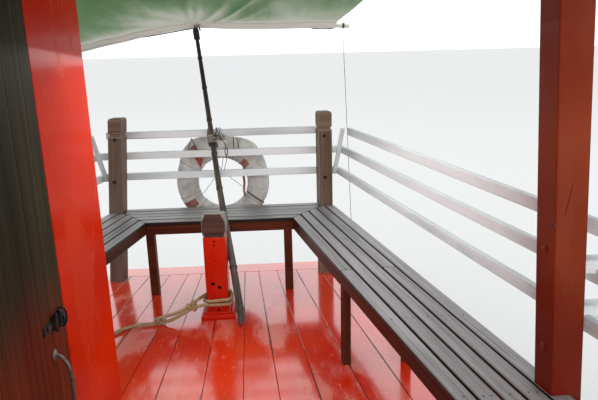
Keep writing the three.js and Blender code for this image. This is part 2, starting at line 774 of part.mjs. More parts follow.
function makeRoof() {
  const ys = stations(ROOF_FRONT, ROOF_AFT);
  const grid = (lift) => ys.map((y) => archPoints(y, eave(y), lift));
  place("roof", shell(grid(ROOF_THICK + SEAT_GAP), grid(SEAT_GAP)), "roof_board");

  const low = DECK + ROOF_LOW - PLATE_HIGH;
  const beamAt = (y0, y1) => {
    const half = Math.min(eave(y0), eave(y1)) - 25;
    const ring = (y) => {
      const arch = archPoints(y, half, 0);
      const ends = [arch[arch.length - 1], arch[0]].map((p) => new THREE.Vector3(p.x, y, low));
      return [...arch, ...ends];
    };
    return loft([ring(y0), ring(y1)]);
  };
  const cross = [...POST_YS, HOUSE_AFT + WALL / 2].map((y) => beamAt(y - 30, y + 30));
  cross.push(beamAt(ROOF_FRONT - 60, ROOF_FRONT), beamAt(ROOF_AFT, ROOF_AFT + 60));
  const plates = [1, -1].map((side) => {
    const middle = -POST_SET - POST_WIDE / 2 - POST_LEAN * (ROOF_LOW - PLATE_HIGH);
    const fore = ROOF_FRONT - 5;
    const aft = ROOF_AFT + 5;
    const top = ROOF_LOW;
    return strip(side, fore, aft, middle - PLATE_HALF, middle + PLATE_HALF, top - PLATE_HIGH, top);
  });
  place("roof_frame", join([...cross, ...plates]), "roof_post_red");

  for (const [name, side] of [["starboard", 1], ["port", -1]]) {
    const ownYs = POST_YS.filter((y) => side > 0 || y < HOUSE_AFT);
    ownYs.forEach((y, i) => place(`roof_post_${name}_${i + 1}`, roofPost(side, y, 0), "roof_post_red"));
  }
}

function makeHouse() {
  const high = ROOF_LOW - PLATE_HIGH - SEAT_GAP;
  const inFace = HOUSE_IN;
  const inBack = HOUSE_IN - WALL;
  const inner = deckBox(inBack, inFace, HOUSE_AFT, HOUSE_FRONT, SEAT_GAP, high);
  const doorway = deckBox(inBack - 5, inFace + 5, DOOR_AFT - 5, DOOR_FORE, -10, DOOR_HIGH);
  place("house_wall_inner", join([inner], [doorway]), "panel_red");

  const outX = (y) => -(beam(y) - 60);
  const sidePlan = [
    [outX(HOUSE_AFT), HOUSE_AFT],
    [outX(HOUSE_AFT) + WALL, HOUSE_AFT],
    [outX(HOUSE_FRONT) + WALL, HOUSE_FRONT],
    [outX(HOUSE_FRONT), HOUSE_FRONT],
  ];
  const sideWindow = deckBox(-2000, -700, 3350, 4300, 950, 1550);
  place("house_wall_outer", join([board(sidePlan, SEAT_GAP, high)], [sideWindow]), "panel_red");

  const between = (y0, y1) => {
    const port = (y) => lerp(outX(HOUSE_AFT), outX(HOUSE_FRONT), (y - HOUSE_AFT) / (HOUSE_FRONT - HOUSE_AFT));
    const right = inBack - SEAT_GAP;
    const plan = [
      [port(y0) + WALL + SEAT_GAP + 0.2, y0],
      [right, y0],
      [right, y1],
      [port(y1) + WALL + SEAT_GAP + 0.2, y1],
    ];
    return board(plan, SEAT_GAP, high);
  };
  const frontWindow = deckBox(-900, -500, HOUSE_FRONT - 80, HOUSE_FRONT + 20, 950, 1550);
  place("house_wall_front", join([between(HOUSE_FRONT - WALL, HOUSE_FRONT)], [frontWindow]), "panel_red");
  place("house_wall_aft", between(HOUSE_AFT, HOUSE_AFT + WALL), "panel_red");

  const leaf = deckBox(inBack + 2, inFace + 2, DOOR_AFT + 5, DOOR_FORE - 8, 15, DOOR_HIGH - 7);
  const hingeX = inFace + HINGE_OUT;
  const hingeY = DOOR_AFT + 1;
  const flaps = HINGE_ZS.flatMap((z) => [
    rod(5, above([hingeX, hingeY, z + 50 + SEAT_GAP]), above([hingeX, hingeY, z + 95]), 12),
    deckBox(inFace + 1, hingeX, hingeY, hingeY + 60, z + 50 + SEAT_GAP, z + 95),
  ]);
  place("door_leaf", join([leaf, ...flaps]), "door_wood");

  const face = inFace + 2 + SEAT_GAP;
  const grip = [
    [face + 8, 4180, 608],
    [face + 34, 4180, 588],
    [face + 42, 4180, 514],
    [face + 34, 4180, 440],
    [face + 8, 4180, 420],
  ];
  const handle = join([
    tube(grip.map(above), 7, 10, 8),
    deckBox(face, face + 9, 4164, 4196, 593, 640),
    deckBox(face, face + 9, 4164, 4196, 388, 435),
    deckBox(face, face + 4, 4168, 4192, 398, 630),
  ]);
  place("door_handle", handle, "iron");
  const hasp = join([
    deckBox(face, face + 6, 4131, 4262, 688, 736),
    deckBox(face + 5, face + 16, 4190, 4206, 684, 740),
    deckBox(face + 5, face + 24, 4222, 4268, 656, 744),
  ]);
  place("door_hasp", hasp, "iron");

  for (const [i, z] of HINGE_ZS.entries()) {
    const fixed = deckBox(inFace + SEAT_GAP, inFace + 5, DOOR_AFT - 75, DOOR_AFT - 12, z, z + 50);
    const knuckle = rod(5, above([hingeX, hingeY, z]), above([hingeX, hingeY, z + 50]), 12);
    const web = deckBox(inFace + SEAT_GAP + 3, hingeX, DOOR_AFT - 20, hingeY, z, z + 50);
    place(`door_hinge_${i + 1}`, join([fixed, knuckle, web]), "iron");
  }
}

// The motor sits on a swivelling yoke at the stern; bed, engine, tail tube and tiller tilt together.
function makeMotor() {
  const [, py, pz] = PIVOT;
  const standTop = 250;
  const stand = join([
    deckBox(-170, 170, py - 170, py + 170, SEAT_GAP, 60),
    deckBox(-110, 110, py - 110, py + 110, 55, standTop - 12),
    deckBox(-130, 130, py - 130, py + 130, standTop - 14, standTop),
    rod(20, above([0, py, standTop - 5]), above([0, py, standTop + 46]), 24),
  ]);
  place("motor_stand", stand, "iron");

  const plateLow = standTop + 0.6;
  const cheekIn = BED_HALF + 6;
  const cheeks = [1, -1].map((side) =>
    deckBox(side * cheekIn, side * (cheekIn + 22), py - 40, py + 40, plateLow + 20, 464),
  );
  const yoke = join(
    [rod(125, above([0, py, plateLow]), above([0, py, plateLow + 26]), 32), ...cheeks],
    [
      rod(22.5, above([0, py, plateLow - 10]), above([0, py, plateLow + 40]), 24),
      rod(PIN_R + PIN_FIT, [-200, py, pz], [200, py, pz], 24),
    ],
  );
  place("swivel_yoke", yoke, "iron");

  const tilted = new THREE.Group();
  tilted.position.set(...PIVOT);
  tilted.rotation.x = TAIL_DIP;
  group.add(tilted);

  const bed = join([
    box(-BED_HALF, -BED_HALF + 30, -260, 600, -28, 28),
    box(BED_HALF - 30, BED_HALF, -260, 600, -28, 28),
    box(-BED_HALF, BED_HALF, -262, -230, -40, 60),
    box(-BED_HALF, BED_HALF, -60, 60, -28, 28),
    box(-BED_HALF, BED_HALF, 560, 600, -28, 50),
    rod(PIN_R, [-BED_HALF - 34, 0, 0], [BED_HALF + 34, 0, 0], 24),
  ]);
  place("engine_bed", bed, "iron", tilted);

  const feet = 28 + SEAT_GAP;
  const sump = 82;
  const engine = join([
    box(-66, 66, -185, -110, feet, sump + 2),
    box(-66, 66, 340, 420, feet, sump + 2),
    box(-120, 120, -190, 440, sump, sump + 160),
    box(-95, 95, -120, 400, sump + 155, sump + 300),
    box(-80, 80, -100, 380, sump + 295, sump + 342),
    rod(105, [0, -228, sump + 100], [0, -185, sump + 100], 24),
    rod(70, [0, 435, sump + 90], [0, 470, sump + 90], 24),
    rod(22, [0, 60, sump + 335], [0, 60, sump + 370], 12),
    rod(75, [0, 60, sump + 368], [0, 60, sump + 440], 24),
    box(93, 150, -90, 360, sump + 175, sump + 232),
    box(-118, -93, -40, 320, sump + 160, sump + 270),
    box(-140, 140, 478, 520, sump + 70, sump + 370),
    box(-60, 60, 465, 482, sump + 60, sump + 120),
    box(-20, 20, 385, 490, sump + 300, sump + 330),
  ]);
  place("engine", engine, "engine_paint", tilted);

  const port = sump + 203;
  const bends = [
    [157, 30, port],
    [182, 30, port + 1],
    [202, 0, port + 25],
    [205, -70, port + 90],
    [205, -150, port + 190],
    [205, -190, port + 290],
  ];
  const flange = box(150.4, 160, 4, 56, port - 25, port + 25);
  place("exhaust_pipe", join([tube(bends, 22, 12, 10), flange]), "steel", tilted);

  const fin = loft([
    [[-4, -3330, -20], [4, -3330, -20], [4, -3600, -20], [-4, -3600, -20]],
    [[-4, -3420, -215], [4, -3420, -215], [4, -3575, -215], [-4, -3575, -215]],
  ].map((ring) => ring.map((p) => new THREE.Vector3(...p))));
  const tail = join([
    rod(TAIL_R, [0, -290, 0], [0, -TAIL_LONG, 0], 20),
    rod(52, [0, -262.4, 0], [0, -300, 0], 24),
    rod(38, [0, -TAIL_LONG + 140, 0], [0, -TAIL_LONG, 0], 20),
    box(-6, 6, -900, -296, 20, 62),
    fin,
  ], [rod(SHAFT_R + PIN_FIT, [0, -TAIL_LONG + 80, 0], [0, -TAIL_LONG - 5, 0], 24)]);
  place("tail_tube", tail, "steel", tilted);

  const grip = tube([[0, 600.4, 0], [0, 760, 2], [0, 1000, 8], [0, TILLER_END, 14]], 16, 8, 10);
  place("tiller", grip, "steel", tilted);

  const hubMid = -TAIL_LONG - 55;
  const hub = join([
    rod(SHAFT_R, [0, -TAIL_LONG + 70, 0], [0, -TAIL_LONG - 20, 0], 24),
    rod(32, [0, -TAIL_LONG - 6, 0], [0, -TAIL_LONG - 96, 0], 20),
    rod(20, [0, -TAIL_LONG - 90, 0], [0, -TAIL_LONG - 128, 0], 16),
    ...[0, 1, 2].map((i) => {
      const blade = loft(
        [[18, 26, 0.75], [60, 46, 0.6], [105, 50, 0.45], [132, 34, 0.38], [PROP_R, 12, 0.35]].map(
          ([r, half, pitch]) => {
            const c = Math.cos(pitch);
            const s = Math.sin(pitch);
            const corners = [[-half, -3], [half, -3], [half, 3], [-half, 3]];
            return corners.map(([a, b]) => new THREE.Vector3(a * c - b * s, a * s + b * c, r));
          },
        ),
      );
      return blade.rotateY((2 * Math.PI * i) / 3).translate(0, hubMid, 0);
    }),
  ]);
  place("propeller", hub, "brass", tilted);

  const tank = join([
    deckBox(-1060, -820, -4900, -4600, SEAT_GAP, 300),
    rod(30, above([-900, -4700, 295]), above([-900, -4700, 325]), 16),
  ]);
  place("fuel_tank", tank, "plastic");
}

function makeBoat() {
  makeHull();
  for (const post of CORNER_POSTS) place(post.name, cornerPost(post, 0), "post_wood");
  makeBowRails();
  makeSideRails();
  const corners = CORNER_POSTS.map((post) => ({
    side: Math.sign(post.foot),
    shape: cornerPost(post, NOTCH_GAP),
  }));
  const posts = [1, -1].flatMap((side) => {
    const ys = POST_YS.filter((y) => side > 0 || y < HOUSE_AFT);
    return ys.map((y) => ({ side, shape: roofPost(side, y, NOTCH_GAP) }));
  });
  makeBowBench(corners.map((corner) => corner.shape));
  makeSideBenches([...corners, ...posts]);
  makeBitt();
  makeCanopy();
  makeLifeRing();
  makeRope();
  makeRoof();
  makeHouse();
  makeMotor();
}

makeBoat();

export default group;
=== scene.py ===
# %% [markdown]
# # A wooden river boat, seen from its foredeck
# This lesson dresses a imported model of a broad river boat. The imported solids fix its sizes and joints. Blender adds
# planks with seams, weathered paint, a laid rope and a stretched awning.
# Lengths are in metres. +X is starboard, +Y is the bow, +Z is up, and the water lies at z = 0.

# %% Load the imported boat
import json
import math
import random

import bmesh
import bpy
from mathutils import Matrix, Vector, noise

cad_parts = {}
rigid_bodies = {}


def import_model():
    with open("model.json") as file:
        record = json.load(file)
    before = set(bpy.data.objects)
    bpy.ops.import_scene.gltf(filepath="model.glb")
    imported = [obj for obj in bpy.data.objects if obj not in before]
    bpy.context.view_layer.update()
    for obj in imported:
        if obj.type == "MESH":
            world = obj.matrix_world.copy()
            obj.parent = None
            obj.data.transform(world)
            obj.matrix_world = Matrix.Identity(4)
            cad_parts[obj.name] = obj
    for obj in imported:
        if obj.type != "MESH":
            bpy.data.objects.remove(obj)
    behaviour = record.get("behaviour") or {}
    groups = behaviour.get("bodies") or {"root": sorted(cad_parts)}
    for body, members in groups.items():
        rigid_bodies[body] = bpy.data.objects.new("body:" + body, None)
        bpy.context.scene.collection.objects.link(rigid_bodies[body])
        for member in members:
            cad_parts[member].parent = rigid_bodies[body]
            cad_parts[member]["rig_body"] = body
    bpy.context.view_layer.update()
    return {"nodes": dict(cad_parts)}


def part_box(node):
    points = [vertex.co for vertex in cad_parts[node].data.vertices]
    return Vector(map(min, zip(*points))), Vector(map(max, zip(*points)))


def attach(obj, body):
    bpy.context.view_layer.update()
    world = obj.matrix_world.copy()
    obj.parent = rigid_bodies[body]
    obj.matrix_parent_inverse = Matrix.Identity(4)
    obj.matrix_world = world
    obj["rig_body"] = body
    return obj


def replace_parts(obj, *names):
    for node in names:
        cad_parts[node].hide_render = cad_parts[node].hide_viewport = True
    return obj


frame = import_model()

NODES = frame["nodes"]

# %% [markdown]
# The camera comes first, because every choice of detail depends on what it sees. A camera could be turned by eye
# until the picture fits. Here its place, three angles and focal length were measured from straight lines on the
# boat, so they go in as numbers. Two perpendicular unit vectors are turned by the roll, and become the camera's axes.

# %% Camera at the viewing angle
EYE = Vector((0.335, 2.645, 2.051))
YAW, PITCH, ROLL = (math.radians(a) for a in (2.572, 14.45, -1.487))
FOCAL_PX = 573.84
PICTURE_WIDE_PX = 598
SENSOR_WIDE_MM = 36.0

ahead = Vector((math.sin(YAW) * math.cos(PITCH), math.cos(YAW) * math.cos(PITCH), -math.sin(PITCH)))
level = Vector((math.cos(YAW), -math.sin(YAW), 0))
upright = level.cross(ahead)
side = math.cos(ROLL) * level + math.sin(ROLL) * upright
top = math.cos(ROLL) * upright - math.sin(ROLL) * level

camera = bpy.data.objects.new("camera", bpy.data.cameras.new("camera"))
camera.data.sensor_width = SENSOR_WIDE_MM
camera.data.lens = FOCAL_PX / PICTURE_WIDE_PX * SENSOR_WIDE_MM
camera.data.clip_start = 0.02
camera.data.clip_end = 3000
camera.matrix_world = Matrix.Translation(EYE) @ Matrix((side, top, -ahead)).transposed().to_4x4()
bpy.context.scene.collection.objects.link(camera)
bpy.context.scene.camera = camera
print("camera lens", round(camera.data.lens, 2), "mm")

# %% [markdown]
# The studio is plain: a pale floor at the waterline, an even pale sky and two wide soft lamps. A picture of a real
# sky would light the boat too, but would also show in the gloss. Two small lamps help under the roof and the awning,
# because the faces that look aft would otherwise see only the dark ceiling.

# %% Studio floor, sky and lamps
FLOOR_HALF, FLOOR_GREY = 900.0, 0.58
SKY_STRENGTH = 1.45


def studio_floor():
    bm = bmesh.new()
    bmesh.ops.create_grid(bm, x_segments=1, y_segments=1, size=FLOOR_HALF)
    mesh = bpy.data.meshes.new("studio_floor")
    bm.to_mesh(mesh)
    bm.free()
    finish = bpy.data.materials.new("studio_floor")
    finish.use_nodes = True
    shader = finish.node_tree.nodes["Principled BSDF"]
    shader.inputs["Base Color"].default_value = (FLOOR_GREY, FLOOR_GREY, FLOOR_GREY * 0.985, 1)
    shader.inputs["Roughness"].default_value = 0.9
    shader.inputs["Specular IOR Level"].default_value = 0.1
    mesh.materials.append(finish)
    floor = bpy.data.objects.new("studio_floor", mesh)
    bpy.context.scene.collection.objects.link(floor)


def soft_lamp(name, place, target, width, power, mirrored=True):
    data = bpy.data.lights.new(name, "AREA")
    data.shape = "SQUARE"
    data.size = width
    data.energy = power
    lamp = bpy.data.objects.new(name, data)
    lamp.location = place
    lamp.rotation_mode = "QUATERNION"
    lamp.rotation_quaternion = (Vector(target) - Vector(place)).to_track_quat("-Z", "Y")
    lamp.visible_camera = False
    lamp.visible_glossy = mirrored
    bpy.context.scene.collection.objects.link(lamp)


studio_floor()
soft_lamp("lamp_above", (-6, 12, 18), (0, 1, 0), 16, 550)
soft_lamp("lamp_starboard", (16, -4, 8), (0, 2, 1), 12, 380)
soft_lamp("lamp_under_the_roof", (0.1, 0.8, 1.85), (0, 5.0, 1.3), 1.1, 66, False)
soft_lamp("lamp_over_the_foredeck", (0.25, 5.0, 2.05), (0.25, 4.9, 0.6), 1.0, 10)
sky = bpy.data.worlds.new("sky")
sky.use_nodes = True
sky.node_tree.nodes["Background"].inputs["Color"].default_value = (0.96, 0.98, 1.0, 1)
sky.node_tree.nodes["Background"].inputs["Strength"].default_value = SKY_STRENGTH
bpy.context.scene.world = sky
bpy.context.scene.view_settings.view_transform = "Standard"
print("studio:", len(bpy.data.lights), "lamps")

# %% [markdown]
# Finishes are worked out from noise and from each face's place in the wood. Wiring nodes by hand takes many lines,
# so one small class wraps a number's socket and lets Python's own operators add the Math nodes. A second class
# holds a material and makes every other kind of node.

# %% Shader maths as Python


class Number:
    """A socket that carries one number, or a colour or vector that is only handed on."""

    def __init__(self, paint, socket):
        self.paint = paint
        self.socket = socket

    def maths(self, operation, *values):
        return self.paint.node("ShaderNodeMath", {"operation": operation}, dict(enumerate(values)))

    def __add__(self, other):
        return self.maths("ADD", self, other)

    def __sub__(self, other):
        return self.maths("SUBTRACT", self, other)

    def __rsub__(self, other):
        return self.maths("SUBTRACT", other, self)

    def __mul__(self, other):
        return self.maths("MULTIPLY", self, other)

    def least(self, other):
        return self.maths("MINIMUM", self, other)

    def fraction(self):
        return self.maths("FRACT", self)

    def rises(self, low, high):
        """0 below low, 1 above high, and a smooth step between them."""
        places = {"Value": self, "From Min": low, "From Max": high}
        return self.paint.node("ShaderNodeMapRange", {"interpolation_type": "SMOOTHSTEP"}, places)

    __radd__ = __add__
    __rmul__ = __mul__


class Paint:
    """A material: its Principled shader and the nodes that feed it."""

    def __init__(self, name, **evenly):
        self.material = bpy.data.materials.new(name)
        self.material.use_nodes = True
        self.tree = self.material.node_tree
        self.shader = self.tree.nodes["Principled BSDF"]
        for socket, value in evenly.items():
            self.shader.inputs[socket.replace("_", " ")].default_value = value

    def node(self, kind, settings=None, values=None, output=0):
        made = self.tree.nodes.new(kind)
        for name, value in (settings or {}).items():
            setattr(made, name, value)
        for key, value in (values or {}).items():
            self.feed(made.inputs[key], value)
        return Number(self, made.outputs[output])

    def feed(self, socket, value):
        if isinstance(value, Number):
            self.tree.links.new(value.socket, socket)
        else:
            socket.default_value = value

    def place(self):
        return self.node("ShaderNodeTexCoord", output="Object")

    def stored(self, name, output="Vector"):
        return self.node("ShaderNodeAttribute", {"attribute_name": name}, output=output)

    def split(self, vector):
        return [self.node("ShaderNodeSeparateXYZ", None, {0: vector}, k) for k in range(3)]

    def scaled(self, vector, scale):
        return self.node("ShaderNodeVectorMath", {"operation": "MULTIPLY"}, {0: vector, 1: scale})

    def noise(self, vector, scale=1.0, detail=4.0, rough=0.55, warp=0.0):
        values = {"Vector": vector, "Scale": scale, "Detail": detail, "Roughness": rough, "Distortion": warp}
        return self.node("ShaderNodeTexNoise", None, values)

    def mix(self, factor, a, b):
        return self.node("ShaderNodeMix", {"data_type": "RGBA"}, {0: factor, 6: a, 7: b}, 2)

    def bump(self, height, strength, distance):
        return self.node("ShaderNodeBump", None, {"Height": height, "Strength": strength, "Distance": distance})

    def wear(self, **varying):
        for socket, value in varying.items():
            self.feed(self.shader.inputs[socket.replace("_", " ")], value)
        return self.material


def colour(code):
    """The linear colour of a web code such as c83010."""
    parts = [int(code[k : k + 2], 16) / 255 for k in (0, 2, 4)]
    return tuple(c / 12.92 if c <= 0.04045 else ((c + 0.055) / 1.055) ** 2.4 for c in parts) + (1.0,)


print("a red as linear numbers:", [round(c, 3) for c in colour("c83010")])

# %% [markdown]
# Bare wood on this boat has stood in sun and rain for years: grey-brown fibres run along each piece, long cracks
# follow them, and the corners are rubbed pale. The cracks are near black, partly dirt and partly painted shade. An
# image of wood would have to be laid on each board. Noise that is stretched along the grain does it everywhere,
# because each face stores its own place as "grain": metres along, across and into the wood. A second stored number,
# "edge", is 1 on the chamfers.

# %% Bare and varnished wood


def wood(name, dark, pale, worn, gloss=0.55, fibre=0.35, crack=0.5, shine=0.3, sides=None, low=None, ior=1.4):
    paint = Paint(name, Specular_IOR_Level=shine, IOR=ior)
    grain = paint.stored("grain")
    edge = paint.stored("edge", "Fac")
    fibres = paint.noise(paint.scaled(grain, (2.2, 150.0, 150.0)), detail=5)
    bands = paint.noise(paint.scaled(grain, (0.5, 17.0, 17.0)), detail=3, warp=0.6)
    blotch = paint.noise(paint.scaled(grain, (1.6, 5.0, 5.0)), detail=4)
    # Near-black cracks: partly dirt, partly painted shade.
    cracks_dirt_and_shade = paint.noise(paint.scaled(grain, (1.1, 70.0, 70.0)), detail=3).rises(0.66, 0.72) * crack
    tone = (fibres * 0.4 + bands * 0.35 + blotch * 0.25).rises(0.34, 0.66)
    bare = paint.mix(tone, colour(dark), colour(pale))
    rubbed = paint.mix(edge * blotch.rises(0.35, 0.6) * 0.75, bare, colour(worn))
    height = fibres * fibre - cracks_dirt_and_shade
    if low:
        # Higher up the first colours are used: on the door an olive grey that is painted sheen, below it red wood.
        up = (paint.split(paint.place())[2] + blotch * 0.3).rises(1.36, 1.66)
        rubbed = paint.mix(up, paint.mix(tone, colour(low[0]), colour(low[1])), rubbed)
    # Faces that don't look up take the sides colour: on the slats a near black that is painted shade in the gaps.
    if sides:
        facing = paint.split(paint.node("ShaderNodeNewGeometry", output="Normal"))[2]
        rubbed = paint.mix(facing.rises(0.35, 0.80), colour(sides), rubbed)
    return paint.wear(
        Base_Color=paint.mix(cracks_dirt_and_shade, rubbed, colour("1c1512")),
        Roughness=(blotch * 0.3 + fibres * 0.15 + (gloss - 0.2)),
        Normal=paint.bump(height, 0.6, 0.0012),
    )


# The slats' near-black sides are painted shade in the gaps between them.
SLAT_WOOD = wood("slat_wood", "5f5c5c", "a19e9f", "858283", gloss=0.44, shine=0.45, sides="1b1817")
DARK_WOOD = wood("dark_wood", "30140d", "5c2e20", "74493a", gloss=0.40, crack=0.25, shine=0.2, ior=1.2)
POST_WOOD = wood("post_wood", "503e33", "7a6455", "99897b", gloss=0.60)
# The door's olive-grey colours are a painted sheen; its low colours are its own red wood.
DOOR_WOOD = wood(
    "door_wood", "1c190e", "3c3524", "5a4e36", gloss=0.46, crack=0.2, shine=0.2, low=("47160b", "70301d"), ior=1.16
)
BITT_WOOD = wood("bitt_wood", "3a2822", "584036", "a5a3a0", gloss=0.6)
RAIL_WOOD = wood("rail_white", "b0b6b8", "d2d9dc", "e6e9ea", gloss=0.62, fibre=0.5, crack=0.45)
print("woods:", [m.name for m in (SLAT_WOOD, DARK_WOOD, POST_WOOD, DOOR_WOOD, BITT_WOOD, RAIL_WOOD)])

# %% [markdown]
# The reds are thick household gloss, brushed on over old coats. Gloss paint shows the sky as a broad pale sheen that
# breaks where feet have dulled it. So the colour hardly varies, and the roughness does most of the work: a smooth
# coat with dull rubbed patches, fine scratches and brush marks in the bump. On the deck the rubbed patches and scuffs
# also turn pale pink: partly dust, partly a painted reflection of the sky.

# %% Gloss paint


def gloss_paint(
    name, deep, bright, dust_and_sheen, dull, dust_and_sheen_share, chips="3a1712", brush=0.25, coat=0.25, shine=0.5, ior=1.5, smooth=0.12,
    scuffed=0.16,
):
    paint = Paint(name, Coat_Weight=coat, Coat_Roughness=0.08, Specular_IOR_Level=shine, IOR=ior)
    grain = paint.stored("grain")
    edge = paint.stored("edge", "Fac")
    patches = paint.noise(paint.scaled(grain, (1.7, 4.5, 4.5)), detail=5, rough=0.6)
    broad = paint.noise(paint.place(), scale=1.3, detail=2)
    strokes = paint.noise(paint.scaled(grain, (3.0, 190.0, 190.0)), detail=3)
    scuffs = paint.noise(paint.scaled(grain, (14.0, 60.0, 60.0)), detail=6, rough=0.7, warp=1.4).rises(0.60, 0.70)
    rubbed = patches.rises(0.48, 0.66)
    flat = paint.mix(broad.rises(0.3, 0.7), colour(deep), colour(bright))
    # Pale colour over rubbed patches and scuffs: dust, and on the deck also a painted reflection.
    dust_and_sheen_coat = paint.mix((rubbed * 0.55 + scuffs * 0.45) * dust_and_sheen_share, flat, colour(dust_and_sheen))
    chipped = edge * patches.rises(0.50, 0.58) * 0.8
    return paint.wear(
        Base_Color=paint.mix(chipped, dust_and_sheen_coat, colour(chips)),
        Roughness=(smooth + rubbed * dull + scuffs * scuffed + strokes * 0.06),
        Normal=paint.bump(strokes * brush + scuffs * 0.15 + patches * 0.6, 0.3, 0.0008),
    )


# The deck's pale pink over its rubbed patches is partly dust and partly painted reflection.
DECK_PAINT = gloss_paint("deck_red", "c32208", "de3c12", "e8aea0", 0.26, 0.60, coat=0.9, shine=0.9, scuffed=0.32)
PANEL_PAINT = gloss_paint("panel_red", "a81a04", "c42a06", "c87048", 0.3, 0.16, coat=0.0, shine=0.3, ior=1.12)
BITT_PAINT = gloss_paint("bitt_red", "b01602", "c42206", "d0664a", 0.3, 0.12, coat=0.0, shine=0.4, ior=1.2)
POST_PAINT = gloss_paint(
    "roof_post_red", "641e10", "84381f", "9a5f48", 0.3, 0.2, brush=0.6, coat=0.0, shine=0.4, ior=1.18
)
HULL_PAINT = gloss_paint(
    "hull_paint", "741b11", "8c2618", "863a2e", 0.15, 0.2, brush=0.15, coat=0.1, shine=0.35, smooth=0.3
)
TRIM_PAINT = gloss_paint("trim_white", "b9b8b0", "d0cfc8", "a8a294", 0.4, 0.25, "6a5a4c")
ROOF_PAINT = gloss_paint(
    "roof_board", "6a7f75", "7f9387", "7d8a80", 0.1, 0.2, "66706a", brush=0.15, coat=0.0, shine=0.25, smooth=0.5
)
print("paints:", [m.name for m in (DECK_PAINT, PANEL_PAINT, BITT_PAINT, POST_PAINT, HULL_PAINT, TRIM_PAINT)])

# %% [markdown]
# The fittings are small, but metal next to painted wood is what tells the eye how big things are. Each metal is one
# base colour that turns to rust, tarnish or grease where a noise says so, and the shine goes with it.

# %% Metals and plastic


def metal(name, bright, stain, metallic, gloss, stained=(0.5, 0.68), ior=1.5):
    paint = Paint(name, IOR=ior)
    spots = paint.noise(paint.place(), scale=38.0, detail=6, rough=0.65)
    rust = spots.rises(*stained)
    fine = paint.noise(paint.place(), scale=420.0, detail=2)
    return paint.wear(
        Base_Color=paint.mix(rust, colour(bright), colour(stain)),
        Metallic=(1 - rust * 0.8) * metallic,
        Roughness=(gloss + rust * 0.35 + fine * 0.1),
        Normal=paint.bump(rust * 0.6 + fine * 0.2, 0.4, 0.0006),
    )


IRON = metal("iron", "1d1c1c", "3a2a22", 0.6, 0.38)
WORN_IRON = metal("worn_iron", "6e655c", "3b2a20", 0.85, 0.26, (0.46, 0.66))
NAIL_PAINT = metal("nail_paint", "6a1810", "3a1a14", 0.0, 0.45)
SEAM_TAR = metal("seam_tar", "240a06", "0c0403", 0.0, 0.8, ior=1.03)
EXHAUST = metal("burnt_steel", "5e4a3e", "6b3a1e", 0.55, 0.5, (0.42, 0.62))
STEEL = metal("steel", "9a9a98", "5d4a3c", 0.95, 0.28, (0.58, 0.72))
BRONZE = metal("bronze", "b08a4a", "5b6b4e", 0.95, 0.3)
ENGINE_PAINT = metal("engine_paint", "2f5f8a", "2b2723", 0.0, 0.35, (0.6, 0.75))
PLASTIC = metal("plastic", "b8342a", "8a5a50", 0.0, 0.45, (0.6, 0.8))
RUBBER = metal("rubber", "1b1b1c", "2c2b2a", 0.0, 0.62)
print("metals:", [m.name for m in (IRON, WORN_IRON, NAIL_PAINT, STEEL, BRONZE, ENGINE_PAINT, PLASTIC, RUBBER)])

# %% [markdown]
# Rope, canvas, cane and awning cloth are fibres too, at other scales. Their pieces store the same "grain", so a
# rope's yarns follow its twist and a canvas weave follows its tube; the grooves between a rope's strands are painted
# darker as painted shade. The awning lets daylight through, so its shader is a Mix of a reflecting and a translucent
# one, and a second Mix turns the green into the pale parts: the bleached front and the folds' painted highlights.

# %% Rope, canvas, cane and awning cloth


def rope_finish(name, dark, pale, grime_and_groove_shade):
    paint = Paint(name)
    grain = paint.stored("grain")
    groove = paint.stored("edge", "Fac")
    fibres = paint.noise(paint.scaled(grain, (60.0, 1100.0, 1100.0)), detail=3)
    soiled = paint.noise(paint.place(), scale=9.0, detail=4).rises(0.45, 0.7)
    yarn = paint.mix(fibres.rises(0.3, 0.7), colour(dark), colour(pale))
    # The grooves between the strands are painted darker, as painted shade.
    shaded = paint.mix(groove * 0.75, yarn, colour(grime_and_groove_shade))
    return paint.wear(
        Base_Color=paint.mix(soiled * 0.45, shaded, colour(grime_and_groove_shade)),
        Roughness=(fibres * 0.2 + 0.7),
        Normal=paint.bump(fibres, 0.6, 0.0008),
    )


def ring_canvas():
    paint = Paint("ring_canvas")
    grain = paint.stored("grain")
    band = paint.stored("edge", "Fac")
    around, across, _ = paint.split(grain)
    weave = (around * 900.0).fraction() * 0.5 + (across * 900.0).fraction() * 0.5
    creases = paint.noise(paint.scaled(grain, (26.0, 9.0, 1.0)), detail=4, warp=0.8)
    grey = paint.noise(paint.place(), scale=7.0, detail=5, rough=0.6)
    height = paint.split(paint.place())[2]
    low = 1 - (height + grey * 0.16).rises(1.02, 1.16)
    stain = (low * 0.6 + band * grey.rises(0.4, 0.55) * 0.3).least(1.0)
    cloth = paint.mix(grey.rises(0.3, 0.7), colour("8d8b87"), colour("c4c3be"))
    brown = paint.mix(stain * 0.75, cloth, colour("7b5f4e"))
    return paint.wear(
        Base_Color=brown,
        Roughness=(grey * 0.15 + 0.72),
        Normal=paint.bump(creases * 0.9 + weave * 0.05, 0.5, 0.004),
    )


def cane():
    paint = Paint("pole_bamboo", Specular_IOR_Level=0.35)
    grain = paint.stored("grain")
    joint = paint.stored("edge", "Fac")
    fibres = paint.noise(paint.scaled(grain, (5.0, 260.0, 260.0)), detail=4)
    blotch = paint.noise(paint.scaled(grain, (7.0, 30.0, 30.0)), detail=4)
    height = paint.split(paint.place())[2]
    # Darker towards the pole's head, above about 1.7 m.
    darker_near_head = (height + blotch * 0.25).rises(1.72, 1.98)
    skin = paint.mix((fibres * 0.6 + blotch * 0.4).rises(0.38, 0.62), colour("1f1814"), colour("5e5248"))
    dark = paint.mix(darker_near_head * 0.85, skin, colour("17130f"))
    return paint.wear(
        Base_Color=paint.mix(joint * 0.55, dark, colour("1d1813")),
        Roughness=(blotch * 0.25 + 0.42),
        Normal=paint.bump(fibres * 0.5 + blotch * 0.5, 0.5, 0.0012),
    )


